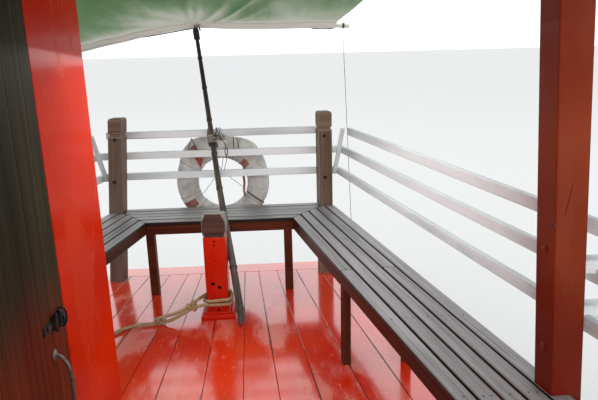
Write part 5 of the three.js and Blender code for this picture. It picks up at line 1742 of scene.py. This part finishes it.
# %% The door's boards, ledges and handle
DOOR_SEAMS = [3.70, 3.78, 3.87, 3.932, 4.050, 4.122, 4.226]
DOOR_FACE_X = -0.318
LEDGE_X, LEDGE_YS, LEDGE_ZS = -0.363, (3.66, 4.245), (0.86, 1.50, 2.28)
GRIP_Y, GRIP_ENDS = 4.180, (0.618, 0.411)
GRIP_ARC = [
    (0.004, 0.618), (0.020, 0.610), (0.034, 0.588), (0.041, 0.552), (0.042, 0.514), (0.040, 0.476),
    (0.033, 0.442), (0.019, 0.420), (0.004, 0.411),
]
ROSE = [(0.017, 0.0004), (0.017, 0.0025), (0.012, 0.005), (0.009, 0.008)]
dress_grooved("door_leaf", DOOR_WOOD, (0, 1, 0), DOOR_SEAMS, (1, 0, 0), 0.0015, (0.0011, 0.0042))
ledges = new_boards()
for z in LEDGE_ZS:
    add_plank(ledges, *[(LEDGE_X, y, z) for y in LEDGE_YS], (0, 0, 0.05), (0.0095, 0, 0))
finish_piece("door_ledges", ledges, "door", DOOR_WOOD)


def grip_radius(run, angle):
    return 0.0055 + 0.0016 * math.sin(run * 11.5) ** 2, 0.0


handle = new_boards()
add_cord(handle, [(DOOR_FACE_X + out, GRIP_Y, DECK_TOP + z) for out, z in GRIP_ARC], 0.004, grip_radius, 12)
for z in GRIP_ENDS:
    add_turned(handle, (DOOR_FACE_X, GRIP_Y, DECK_TOP + z), (1, 0, 0), ROSE, 18)
for z in (0.636, 0.600, 0.429, 0.393):
    add_nail(handle, (DOOR_FACE_X + 0.002, GRIP_Y, DECK_TOP + z), (1, 0, 0), 0.004)
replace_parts(finish_piece("door_handle_arc", handle, "door", WORN_IRON, 50), "door_handle")

# %% [markdown]
# The hasp is a strap in three leaves that folds over a staple, with two thick blocks beside it, and it rides on the
# door too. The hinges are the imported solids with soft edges. The screws of their fixed leaves stay with the house.

# %% The door's hasp and hinges
HASP_FACE_X, HASP_Z, STAPLE_Y = DOOR_FACE_X + 0.0004, 1.3125, 4.245
HASP_LEAVES = ((4.131, 4.262, 0.0015, 0.0145), (4.150, 4.190, 0.0045, 0.010), (4.190, 4.262, 0.0072, 0.0125))
STAPLE = [(0.002, 1.288), (0.018, 1.288), (0.0235, 1.298), (0.0235, 1.327), (0.018, 1.337), (0.002, 1.337)]
HASP_BLOCKS = ((0.0105, 4.228, 1.286, 1.338, 0.006), (0.0115, 4.253, 1.276, 1.312, 0.011))
HINGE_ZS, HINGE_SCREW_YS = (0.925, 2.225), (3.540, 3.570)


def hasp_point(out, y, z):
    return (HASP_FACE_X + out, y, z)


hasp = new_boards()
for y0, y1, out, half in HASP_LEAVES:
    ends = [hasp_point(out, y, HASP_Z) for y in (y0, y1)]
    add_plank(hasp, *ends, (0, 0, half), (0.0015, 0, 0), 0.0006)
for y in (4.190, 4.206):
    ends = [hasp_point(out, y, HASP_Z) for out in (0.001, 0.016)]
    add_plank(hasp, *ends, (0, 0, 0.022), (0, 0.0014, 0), 0.0006)
add_turned(hasp, hasp_point(0.0115, 4.198, 1.284), (0, 0, 1), [(0.0042, 0), (0.0042, 0.056), (0.0028, 0.0575)], 12)
add_cord(hasp, [hasp_point(out, STAPLE_Y, z) for out, z in STAPLE], 0.003, 0.0032, 10)
for out, y, low, high, half in HASP_BLOCKS:
    add_plank(hasp, hasp_point(out, y, low), hasp_point(out, y, high), (0, half, 0), (0.0065, 0, 0), 0.002)
for y, z in ((4.138, 1.305), (4.138, 1.320), (4.146, 1.3125)):
    add_nail(hasp, hasp_point(0.003, y, z), (1, 0, 0), 0.0032)
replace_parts(finish_piece("door_hasp_and_staple", hasp, "door", IRON, 40), "door_hasp")

for k in (1, 2):
    dress(f"door_hinge_{k}", IRON, 0.0008, 1, 35)
screws = new_boards()
for z in HINGE_ZS:
    for y in HINGE_SCREW_YS:
        for up in (-0.012, 0.012):
            add_nail(screws, (HOUSE_IN_X + 0.005, y, z + up), (1, 0, 0), 0.0035)
finish_piece("hinge_screws", screws, "root", IRON, 40)

# %% [markdown]
# The roof is of boards laid fore and aft over arched beams, with a fascia along each eave. The boards narrow where
# the boat does, so they are lofts through rings of points: a ring at each station, with its corners cut and its top
# and bottom on the slope of the arch.

# %% Lofts, roof boards and fascias


def add_loft(bm, rings, worn=()):
    """A closed solid through rings of points. worn holds the places in a ring that lie on a rubbed corner."""
    shift = somewhere()
    middles = [sum(ring, Vector()) / len(ring) for ring in rings]
    made, run = [], 0.0
    for k, ring in enumerate(rings):
        run += (middles[k] - middles[k - 1]).length if k else 0.0
        ahead = (middles[min(k + 1, len(rings) - 1)] - middles[max(k - 1, 0)]).normalized()
        across = (ring[1] - ring[0]).normalized()
        up = across.cross(ahead)
        points = []
        for j, p in enumerate(ring):
            off = p - middles[k]
            points.append((p, Vector((run, off.dot(across), off.dot(up))) + shift, float(j in worn)))
        made.append(add_ring(bm, points))
    add_skin(bm, made)


ROOF_FRONT_Y, ROOF_AFT_Y = 4.8, -5.3
ROOF_LOW_Z, ROOF_RISE, ROOF_THICK = 2.7, 0.090, 0.022
EAVE_OUT, ARCH_XS = 0.190, (0.0, 0.25, 0.5, 0.75, 1.0, ROOF_REF)
ROOF_BOARDS, ROOF_GAP = 16, 0.0015
FASCIA_DOWN = 0.075


def eave(y):
    return min(beam(y) + EAVE_OUT, ROOF_REF)


def roof_rise(x):
    """The arch's height over the eaves: straight between a few lines along the roof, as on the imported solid."""
    x = abs(x)
    for a, b in zip(ARCH_XS, ARCH_XS[1:]):
        if x <= b + 1e-6:
            high_a, high_b = (ROOF_RISE * (1 - (s / ROOF_REF) ** 2) for s in (a, b))
            return high_a + (high_b - high_a) * (x - a) / (b - a)
    return 0.0


def roof_ring(y, x0, x1, low, high, cut=0.003):
    def at(x, up):
        return Vector((x, y, ROOF_LOW_Z + roof_rise(x) + up))

    ring = [at(x0 + cut, high), at(x1 - cut, high), at(x1, high - cut), at(x1, low + cut)]
    return ring + [at(x1 - cut, low), at(x0 + cut, low), at(x0, low + cut), at(x0, high - cut)]


roof_ys = stations(ROOF_FRONT_Y, ROOF_AFT_Y)
roof_mesh = new_boards()
for k in range(ROOF_BOARDS):
    rings = []
    for y in roof_ys:
        x0, x1 = (eave(y) * (2 * j / ROOF_BOARDS - 1) for j in (k, k + 1))
        rings.append(roof_ring(y, x0 + ROOF_GAP / 2, x1 - ROOF_GAP / 2, 0.0008, ROOF_THICK))
    add_loft(roof_mesh, rings, range(8))
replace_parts(finish_piece("roof_boards", roof_mesh, "root", ROOF_PAINT), "roof")
fascias = new_boards()
for side in (1, -1):
    rings = []
    for y in roof_ys:
        inner, outer = (side * (eave(y) - s) for s in (0.022, 0.004))
        rings.append(roof_ring(y, min(inner, outer), max(inner, outer), -FASCIA_DOWN, 0.0, 0.002))
    add_loft(fascias, rings, range(8))
for y in (ROOF_FRONT_Y + 0.010, ROOF_AFT_Y - 0.010):
    half = eave(y) - 0.004
    xs = [-half] + [s * x for s in (-1, 1) for x in (ARCH_XS[-2::-1] if s < 0 else ARCH_XS[1:-1])] + [half]
    rings = []
    for x in sorted(set(xs)):
        z = ROOF_LOW_Z + roof_rise(x)
        square = [(y - 0.009, z + 0.018), (y + 0.009, z + 0.018), (y + 0.009, z - 0.012), (y - 0.009, z - 0.012)]
        rings.append([Vector((x, b, c)) for b, c in square])
    add_loft(fascias, rings)
finish_piece("roof_fascias", fascias, "root", POST_PAINT)
dress("roof_frame", POST_PAINT, 0.003)

# %% [markdown]
# The roof posts are square, painted red-brown, and stand just inside the rails. Two bolts in each hold the rails'
# blocks. The post beside the camera shows a long drying crack and a knot. A crack is too sharp for a bump, so the
# shade in it is painted as a thin dark sliver let into the face, and the knot is a low dome.

# %% Roof posts and their bolts
for name, count in (("starboard", 5), ("port", 4)):
    for k in range(1, count + 1):
        dress(f"roof_post_{name}_{k}", POST_PAINT, 0.004, 2)
CRACK_Y, CRACK_HALF = 4.0658, 0.0010
CRACK = (((1.1140, 1.698), (1.1080, 1.658)), ((1.1081, 1.6585), (1.1010, 1.617)))
# The crack's thin dark sliver is painted shade.
crack = new_boards()
for (x0, z0), (x1, z1) in CRACK:
    add_plank(crack, (x0, CRACK_Y, z0), (x1, CRACK_Y, z1), (CRACK_HALF, 0, 0), (0, CRACK_HALF, 0), 0.0003)
finish_piece("roof_post_crack_shade", crack, "root", SEAM_TAR)
POST_BOLT_ZS, POST_WIDE = (1.512, 1.216), 0.089
KNOT_AT, KNOT = (1.076, 4.0655, 1.588), [(0.0065, -0.001), (0.0055, 0.0007), (0.002, 0.0012)]
post_bolts = new_boards()


def post_face_x(y, z):
    """The inboard face of a starboard roof post at a height."""
    return beam(y) - POST_SET - POST_WIDE - POST_LEAN * (z - DECK_TOP)


for y in ROOF_POST_YS:
    for z in POST_BOLT_ZS:
        x = post_face_x(y, z)
        for s in (1, -1) if y < HOUSE_AFT_Y else (1,):
            add_bolt(post_bolts, (s * x, y - 0.006, z), (-s, 0, 0), 0.0075)
add_turned(post_bolts, KNOT_AT, (0, -1, 0), KNOT)
finish_piece("roof_post_bolts", post_bolts, "root", NAIL_PAINT, 40)

# %% [markdown]
# The hull is planked: long strakes from bow to stern, with a seam between each pair that is caulked and painted over.
# One skin is lofted through a ring of points at each station. Each seam adds three close points to the ring, the
# middle one pushed in, so the grooves are in the mesh and follow the boat's curve.

# %% The hull's strakes
HULL_ROWS = [
    (6.5, 0.560, 0.300), (6.2, 0.640, 0.150), (5.8, 0.730, 0.010), (5.2, 0.850, -0.150), (4.5, 0.980, -0.255),
    (3.9, 1.080, -0.300), (2.955, 1.200, -0.320), (2.64, 1.230, -0.325), (0.0, 1.235, -0.325), (-2.5, 1.230, -0.325),
    (-4.1, 1.170, -0.310), (-4.9, 1.115, -0.250), (-5.7, 1.035, -0.150), (-6.5, 0.930, -0.030),
]
GUNWALE_Z = 0.5697
STRAKES = (1, 2, 3, 1, 1, 3, 3)
SEAM_HALF, SEAM_DEEP = 0.003, 0.004
KEEL_HALF, KEEL_DEEP, KEEL_UP = 0.050, 0.045, 0.040


def hull_row(y):
    """Half the chine and the bottom's height at a station, read between the rows of the table."""
    for fore, aft in zip(HULL_ROWS, HULL_ROWS[1:]):
        if y >= aft[0] - 1e-9:
            t = (y - fore[0]) / (aft[0] - fore[0])
            return tuple(a + (b - a) * t for a, b in zip(fore[1:], aft[1:]))
    return HULL_ROWS[-1][1:]


def hull_section(y):
    """Points (x, z) from the gunwale to the middle of the bottom."""
    chine, bottom = hull_row(y)
    half = beam(y)
    return [Vector(p) for p in (
        (half, GUNWALE_Z), (half, GUNWALE_Z - 0.06),
        (half + (chine - half) * 0.4 + 0.018, GUNWALE_Z + (bottom - GUNWALE_Z) * 0.45),
        (chine + 0.018, bottom + 0.17), (chine - 0.02, bottom + 0.0595), (chine - 0.11, bottom + 0.015),
        (0.4 * chine, bottom + 0.004), (0.0, bottom),
    )]


def planked(section):
    """The section with three points at each seam, the middle one pushed in."""
    line = [section[0]]
    for (a, b), count in zip(zip(section, section[1:]), STRAKES):
        way = (b - a).normalized()
        inward = Vector((way.y, -way.x))
        for k in range(count):
            end = a.lerp(b, (k + 1) / count)
            start = a.lerp(b, k / count)
            line += [start + way * SEAM_HALF, end - way * SEAM_HALF]
            line.append(end + inward * SEAM_DEEP * (1 if end.x > 0.01 else 0))
    return line[:-1] + [section[-1]]


hull_ys = sorted({row[0] for row in HULL_ROWS} | set(stations(BOW_Y, STERN_Y)), reverse=True)
hull_rings = []
for y in hull_ys:
    points = planked(hull_section(y))
    hull_rings.append([Vector((x, y, z)) for x, z in points] + [Vector((-x, y, z)) for x, z in points[-2::-1]])
hull_mesh = new_boards()
add_loft(hull_mesh, hull_rings)
keel_rings = []
for y in (k for k in hull_ys if abs(k) < 6.3):
    bottom = hull_row(y)[1]
    sides = ((-1, -KEEL_DEEP), (1, -KEEL_DEEP), (1, KEEL_UP), (-1, KEEL_UP))
    keel_rings.append([Vector((s * KEEL_HALF, y, bottom + z)) for s, z in sides])
add_loft(hull_mesh, keel_rings)
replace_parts(finish_piece("hull_strakes", hull_mesh, "root", HULL_PAINT, 20), "hull")
print("strakes a side:", sum(STRAKES))

# %% [markdown]
# Both ends of the boat are flat and closed with thick boards across. Each is a short loft between two end sections
# that lean as the side does, so the boards end flush with the strakes.

# %% Bow and stern boards
END_BOARDS, END_THICK, END_CHAMFER = 3, 0.018, 0.004


def half_width(y, z):
    """Half the hull's width at a height."""
    section = hull_section(y)
    for a, b in zip(section, section[1:]):
        if b.y <= z <= a.y + 1e-9:
            return a.x + (b.x - a.x) * (a.y - z) / max(a.y - b.y, 1e-9)
    return section[3].x


end_boards = new_boards()
for y, out in ((BOW_Y, 1), (STERN_Y, -1)):
    bottom = hull_row(y)[1] + 0.075
    tall = (GUNWALE_Z - 0.002 - bottom) / END_BOARDS
    for k in range(END_BOARDS):
        low, high = bottom + tall * k + 0.001, bottom + tall * (k + 1) - 0.001
        rings = []
        for s in (-1, 1):
            wide = [half_width(y, z) - 0.004 for z in (high, low)]
            c = END_CHAMFER
            corners = [
                (wide[0], out * 0.0003, high), (wide[1], out * 0.0003, low), (wide[1], out * (END_THICK - c), low),
                (wide[1], out * END_THICK, low + c), (wide[0], out * END_THICK, high - c),
                (wide[0], out * (END_THICK - c), high),
            ]
            rings.append([Vector((s * x, y + b, z)) for x, b, z in corners])
        add_loft(end_boards, rings, (2, 3, 4, 5))
finish_piece("bow_and_stern_boards", end_boards, "root", HULL_PAINT)

# %% [markdown]
# A rub rail runs along each gunwale to take the knocks of jetties and other boats. It is two thick pale boards with
# rounded edges, one on the other, and a line of bolts. A board's edge is rounded by a wide chamfer on the strip.

# %% Rub rails
RUB_RAILS = (
    (0.506, 0.546, 0.044, 0.0, 0.007), (0.551, 0.591, 0.050, 0.0, 0.007), (0.5455, 0.5515, 0.03, 0.002, 0.001),
)
RUB_BOLTS, RUB_BOLT_FORE, RUB_BOLT_STEP = 15, 6.1, 0.86
rub_bolts = new_boards()
for side, name in ((1, "starboard"), (-1, "port")):
    rail = new_boards()
    for low, high, out, short, chamfer in RUB_RAILS:
        edges = [side_line(side, BOW_Y - short, STERN_Y + short, s) for s in (0.0004, out)]
        add_board(rail, *edges, low, high, chamfer)
    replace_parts(finish_piece(f"rub_rail_{name}_boards", rail, "root", TRIM_PAINT), f"rub_rail_{name}")
    for k in range(RUB_BOLTS):
        y = RUB_BOLT_FORE - RUB_BOLT_STEP * k
        way = Vector((1, (beam(y + 0.05) - beam(y - 0.05)) / -0.1, 0)).normalized()
        add_bolt(rub_bolts, (side * (beam(y) + 0.0497), y, 0.571), (side * way.x, way.y, 0), 0.008)
finish_piece("rub_rail_bolts", rub_bolts, "root", IRON, 40)

# %% [markdown]
# The bow's timber is bare or dull: the square corner posts with their notched heads, and the dark frames that carry
# the benches. Screws hold the slats in rows, and nails hold the deck boards. Each is a small domed head in the wood.

# %% Bow timber, screws and nails
for name in ("starboard", "port"):
    dress(f"corner_post_{name}", POST_WOOD, 0.004, 2)
for name in ("bow", "starboard", "port_fore", "port_aft"):
    dress(f"bench_{name}_frame", DARK_WOOD, 0.002)

SCREW_ROWS = [5.112, 4.600, 4.087] + [3.570 - 0.512 * k for k in range(16)]
SCREW_R, SCREW_SUNK = 0.0032, 0.0008
CORNER_BOLTS, CORNER_BOLT_Y = [(-0.646, 1.548), (-0.675, 1.278), (0.670, 1.533), (0.670, 1.262)], 6.2652
NAIL_SHAPE = [(0.0038, -0.001), (0.0038, 0.0003), (0.0022, 0.0007)]
fasteners = new_boards()
for side in (1, -1):
    for y in SCREW_ROWS:
        if side < 0 and 2.90 < y < 4.78:
            continue
        for k in range(SLAT_COUNT):
            start, end = slat_edge(k)
            for t in (0.3, 0.72) if k % 2 else (0.5,):
                x = side * (beam(y) - start + (start - end) * t)
                spot = (x, y + rng.uniform(-0.006, 0.006), SLAT_TOP - SCREW_SUNK)
                add_nail(fasteners, spot, (0, 0, 1), SCREW_R)
for x in (-0.45, 0.0, 0.42):
    for k in range(SLAT_COUNT):
        y = BENCH_FRONT_Y + k * (SLAT_WIDE + SLAT_GAP) + SLAT_WIDE / 2
        add_nail(fasteners, (x + rng.uniform(-0.01, 0.01), y, SLAT_TOP - SCREW_SUNK), (0, 0, 1), SCREW_R)
for x, z in CORNER_BOLTS:
    add_bolt(fasteners, (x, CORNER_BOLT_Y, z), (0, -1, 0), 0.008)
finish_piece("slat_screws_and_post_bolts", fasteners, "root", IRON, 40)

nails = new_boards()
for first, last, step, aft in ((HEAD_SEAM_Y - 0.06, BUTT_Y, 0.55, False), (BUTT_Y - 0.05, STERN_Y, 0.61, True)):
    for row in range(int((first - last) / step) + 1):
        y = first - row * step
        xs = deck_edges(y, aft)
        for a, b in zip(xs, xs[1:]):
            for x in (a + 0.022, b - 0.022):
                spot = (x, y + rng.uniform(-0.008, 0.008), DECK_TOP - 0.0006)
                add_turned(nails, spot, (0, 0, 1), NAIL_SHAPE, 7)
finish_piece("deck_nails", nails, "root", NAIL_PAINT)

# %% [markdown]
# A longtail motor is a car engine on a steel bed that balances on a pin. It swings and tilts with its long shaft,
# and the screw at the far end turns. Every piece below is placed in the engine's own frame, in millimetres from the
# pin, and one function turns that into the boat's metres at the rest tilt.

# %% The motor's own frame
PIVOT = Vector((0, -6.25, 1.03))
DIP = math.radians(19)


def motor_point(x, y, z):
    """A point of the motor's own frame, in millimetres from the pin, as metres in the boat."""
    y, z = y * math.cos(DIP) - z * math.sin(DIP), y * math.sin(DIP) + z * math.cos(DIP)
    return PIVOT + Vector((x, y, z)) / 1000


def motor_way(x, y, z):
    return (motor_point(x, y, z) - PIVOT).normalized()


def motor_plank(bm, start, end, across, up, chamfer=0.002):
    """A plank in the motor's own frame. across and up are millimetres to half its width and thickness."""
    sizes = (motor_point(*across) - PIVOT, motor_point(*up) - PIVOT)
    add_plank(bm, motor_point(*start), motor_point(*end), *sizes, chamfer)


dress("motor_stand", IRON, 0.003, 1, 30)
dress("swivel_yoke", IRON, 0.003, 1, 30)
dress("engine_bed", IRON, 0.002, 1, 30)
dress("engine", ENGINE_PAINT, 0.005, 2, 30)
dress("tail_tube", STEEL, 0.002, 1, 30)
dress("propeller", BRONZE, 0.0012, 1, 40)
print("the shaft's far end lies at", [round(c, 2) for c in motor_point(0, -3640, 0)])

# %% [markdown]
# The engine's block, head and sump come from the imported solid with rounded edges. What makes it read as an engine is
# what is bolted on: a ribbed rocker cover, injector pipes, a belt over two pulleys, a fan before the finned core of
# the radiator, hoses, an alternator and an oil filter.

# %% Engine fittings
SUMP = 82
fittings = new_boards()
for x in (-66, 66):
    for y in (-80, 20, 120, 220, 320):
        add_bolt(fittings, motor_point(x, y, SUMP + 342), motor_way(0, 0, 1), 0.006)
for y in (-60, 160, 240, 340):
    motor_plank(fittings, (-52, y, SUMP + 345), (52, y, SUMP + 345), (0, 7, 0), (0, 0, 4))
add_turned(
    fittings, motor_point(-30, 300, SUMP + 341), motor_way(0, 0, 1),
    [(0.022, 0), (0.022, 0.012), (0.026, 0.014), (0.026, 0.024), (0.018, 0.029)], 18,
)
for side in (1, -1):
    for y in (-150, -40, 70, 180, 290, 400):
        add_bolt(fittings, motor_point(side * 119, y, SUMP + 18), motor_way(side, 0, 0), 0.006)
filter_shape = [(0.036, 0), (0.038, 0.004), (0.038, 0.085), (0.034, 0.094), (0.012, 0.096)]
add_turned(fittings, motor_point(-121, 330, SUMP + 60), motor_way(-1, 0, -0.15), filter_shape, 20)
alternator = [(0.028, 0), (0.052, 0.006), (0.054, 0.014), (0.054, 0.1), (0.046, 0.108), (0.014, 0.11), (0.014, 0.122)]
add_turned(fittings, motor_point(-168, 300, SUMP + 205), motor_way(0, 1, 0), alternator, 22)
motor_plank(fittings, (-120, 330, SUMP + 150), (-165, 330, SUMP + 165), (0, 14, 0), (0, 0, 5))
pulley = [(0.056, 0), (0.056, 0.004), (0.047, 0.008), (0.047, 0.012), (0.056, 0.016), (0.056, 0.02), (0.02, 0.024)]
add_turned(fittings, motor_point(0, 440, SUMP + 220), motor_way(0, 1, 0), pulley, 26)
small = [(r * 0.55, h) for r, h in pulley]
add_turned(fittings, motor_point(-168, 424, SUMP + 205), motor_way(0, 1, 0), small, 20)
for k in range(5):
    a = 2 * math.pi * k / 5
    tip = (math.cos(a) * 118, 466, SUMP + 220 + math.sin(a) * 118)
    root = (math.cos(a) * 18, 466, SUMP + 220 + math.sin(a) * 18)
    motor_plank(fittings, root, tip, (-math.sin(a) * 24, 8, math.cos(a) * 24), (0, 1.2, 0), 0.0005)
finish_piece("engine_fittings", fittings, "motor", ENGINE_PAINT, 35)

core = new_boards()
for k in range(24):
    z = SUMP + 82 + k * 11.8
    motor_plank(core, (-128, 521.5, z), (128, 521.5, z), (0, 3, 0), (0, 0, 2.0), 0.0004)
for k in range(9):
    x = -120 + 30 * k
    motor_plank(core, (x, 520.8, SUMP + 76), (x, 520.8, SUMP + 362), (2.5, 0, 0), (0, 2, 0), 0.0004)
cap = [(0.024, 0), (0.024, 0.008), (0.030, 0.010), (0.030, 0.018), (0.020, 0.022)]
add_turned(core, motor_point(60, 499, SUMP + 369), motor_way(0, 0, 1), cap, 16)
for k in range(3):
    z = SUMP + 374 + 21 * k
    band = [(0.0756, -0.003), (0.0772, -0.002), (0.0772, 0.002), (0.0756, 0.003)]
    add_turned(core, motor_point(0, 60, z), motor_way(0, 0, 1), band, 28)
finish_piece("radiator_core_and_bands", core, "motor", STEEL, 35)

HOSES = (
    ([(20, 380, 318), (24, 420, 345), (26, 460, 350), (28, 492, 345)], 0.017),
    ([(-60, 484, 95), (-100, 455, 60), (-124, 400, 50), (-118, 340, 45)], 0.016),
    ([(-105, -20, 225), (-150, -60, 190), (-158, -120, 120), (-128, -160, 90)], 0.007),
)
hoses, belt = new_boards(), []
for centre_x, centre_z, r, first in ((0, SUMP + 220, 49, -100), (-168, SUMP + 205, 28, 80)):
    for k in range(9):
        a = math.radians(first + 22.5 * k)
        belt.append(motor_point(centre_x + math.cos(a) * r, 450 if r > 30 else 446, centre_z + math.sin(a) * r))
add_loop(hoses, belt, 0.012, 0.0055, 8)
for line, r in HOSES:
    add_cord(hoses, [motor_point(x, y, SUMP + z) for x, y, z in line], 0.008, r, 14)
finish_piece("hoses_and_belt", hoses, "motor", RUBBER, 50)

pipes = new_boards()
nozzle = [(0.009, 0), (0.009, 0.02), (0.005, 0.026)]
for k in range(4):
    y = 20 + 80 * k
    route = [(-100, y * 0.4 + 60, 268), (-112, y * 0.7 + 30, 300), (-92, y, 322), (-76, y, 318)]
    add_cord(pipes, [motor_point(a, b, SUMP + c) for a, b, c in route], 0.006, 0.003, 8)
    add_turned(pipes, motor_point(-84, y, SUMP + 306), motor_way(0, 0, 1), nozzle, 8)
finish_piece("injector_pipes", pipes, "motor", STEEL, 50)

# %% [markdown]
# The exhaust leaves on the starboard side and rises clear of the helmsman in one bent pipe, so it is a round piece
# along a smooth line, brown with heat. The tiller runs forward over the stern and ends in a ribbed rubber grip. The
# fuel tank is a rounded plastic box with ribs, a carrying handle and a screw cap.

# %% Exhaust, tiller and fuel tank
PORT_Z = SUMP + 203
exhaust = new_boards()
bends = [(157, 30, 0), (182, 30, 1), (202, 0, 25), (205, -70, 90), (205, -150, 190), (205, -190, 290)]
way = smooth_line([motor_point(x, y, PORT_Z + z) for x, y, z in bends], 0.010)
add_round(exhaust, way, lambda run, a: (0.0218 + 0.0008 * math.sin(run * 9) ** 8, 0.0), 20)
flange = [motor_point(x, 30, PORT_Z) for x in (151, 159)]
add_plank(exhaust, flange[0], flange[1], motor_way(0, 1, 0) * 0.026, motor_way(0, 0, 1) * 0.025, 0.002)
for y in (11, 49):
    for z in (-17, 17):
        add_bolt(exhaust, motor_point(159, y, PORT_Z + z), motor_way(1, 0, 0), 0.005)
collar = [(0.0225, -0.012), (0.0255, -0.010), (0.0255, 0.010), (0.0225, 0.012)]
add_turned(exhaust, way[-22], (way[-21] - way[-23]), collar, 20)
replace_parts(finish_piece("exhaust_bend", exhaust, "motor", EXHAUST, 50), "exhaust_pipe")

tiller = new_boards()
bar = ((0, 601, 0), (0, 760, 2), (0, 1000, 8), (0, 1410, 14))
add_cord(tiller, [motor_point(*p) for p in bar], 0.012, 0.0150, 18)
add_turned(tiller, motor_point(0, 601, 0), motor_way(0, 1, 0), [(0.022, 0), (0.022, 0.03), (0.0155, 0.034)], 18)
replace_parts(finish_piece("tiller_bar", tiller, "motor", STEEL, 50), "tiller")
grip_piece = new_boards()
start, end = motor_point(0, 1262, 11.4), motor_point(0, 1412, 13.9)
ribs = []
for k in range(19):
    rib, at = 0.0180 if k % 2 else 0.0168, 0.150 * k / 18
    ribs += [(rib, at), (rib, at + 0.004)]
add_turned(grip_piece, start, end - start, ribs + [(0.0195, 0.1545), (0.0180, 0.1580), (0.0100, 0.1600)], 18)
finish_piece("tiller_grip", grip_piece, "motor", RUBBER, 30)

tank = copy_of("fuel_tank")
rounded = chamfered(tank, 0.022, 4)
tank.faces.index_update()
store_grain(tank, rounded)
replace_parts(finish_piece("fuel_tank_body", tank, "root", PLASTIC, 40), "fuel_tank")
tank_bits = new_boards()
for z in (0.68, 0.75, 0.82):
    for y in (-4.902, -4.598):
        add_plank(tank_bits, (-1.03, y, z), (-0.85, y, z), (0, 0, 0.008), (0, 0.003, 0), 0.002)
carry = [(-4.86, 0.895), (-4.855, 0.93), (-4.83, 0.945), (-4.79, 0.945), (-4.765, 0.93), (-4.76, 0.895)]
add_cord(tank_bits, [(-0.94, y, z) for y, z in carry], 0.006, 0.009, 12)
knurl = [(0.031, 0.0), (0.036, 0.003), (0.036, 0.026), (0.030, 0.031), (0.012, 0.032)]
add_turned(tank_bits, (-0.900, -4.700, 0.900), (0, 0, 1), knurl, 24)
finish_piece("fuel_tank_fittings", tank_bits, "root", PLASTIC, 35)

# %% [markdown]
# The bitt is a stout post to moor by. Old bolts have been drawn out of its aft face, and they leave round holes and a
# split. The holes are cut out of the mesh, and a near-black disc at the bottom of each is painted shade. Its head is
# bare: the cut facets are pale grey, and only the face towards the house is dark.

# %% The bitt, its holes and its head
BITT_FACE_Y = 5.662
BITT_HOLES = [
    (-0.0237, 0.8058, 0.0105), (0.0112, 0.7824, 0.0105), (0.0004, 0.6482, 0.008), (-0.0042, 0.9417, 0.004),
    (-0.0060, 0.9123, 0.0035), (-0.0170, 0.7329, 0.004), (-0.0025, 1.0540, 0.0055), (-0.0040, 1.0330, 0.0055),
]
post = dress("bitt_post", BITT_PAINT, 0.003)
cutters, hole_shade = new_boards(), new_boards()
for x, z, r in BITT_HOLES:
    worn = r * rng.uniform(0.92, 1.08)
    add_turned(cutters, (x, BITT_FACE_Y - 0.004, z), (0, 1, 0), [(worn, 0), (r, 0.014), (r * 0.8, 0.024)], 14)
    # A near-black disc deep in each hole is painted shade.
    add_turned(hole_shade, (x, BITT_FACE_Y + 0.0040, z), (0, 1, 0), [(r * 0.98, 0), (r * 0.9, 0.012)], 14)
print("the carved post has", carve(post, cutters), "faces")
finish_piece("bitt_hole_painted_shade", hole_shade, "root", SEAM_TAR)

head = dress("bitt_head", BITT_WOOD, 0.004)
facets = bmesh.new()
facets.from_mesh(head.data)
rubbed = facets.loops.layers.float["edge"]
# The cut facets take the pale grey colour and the face towards the house stays dark: colour by facet direction.
for face in facets.faces:
    for loop in face.loops:
        loop[rubbed] = 0.0 if face.normal.y < -0.9 else 1.0
facets.to_mesh(head.data)
facets.free()
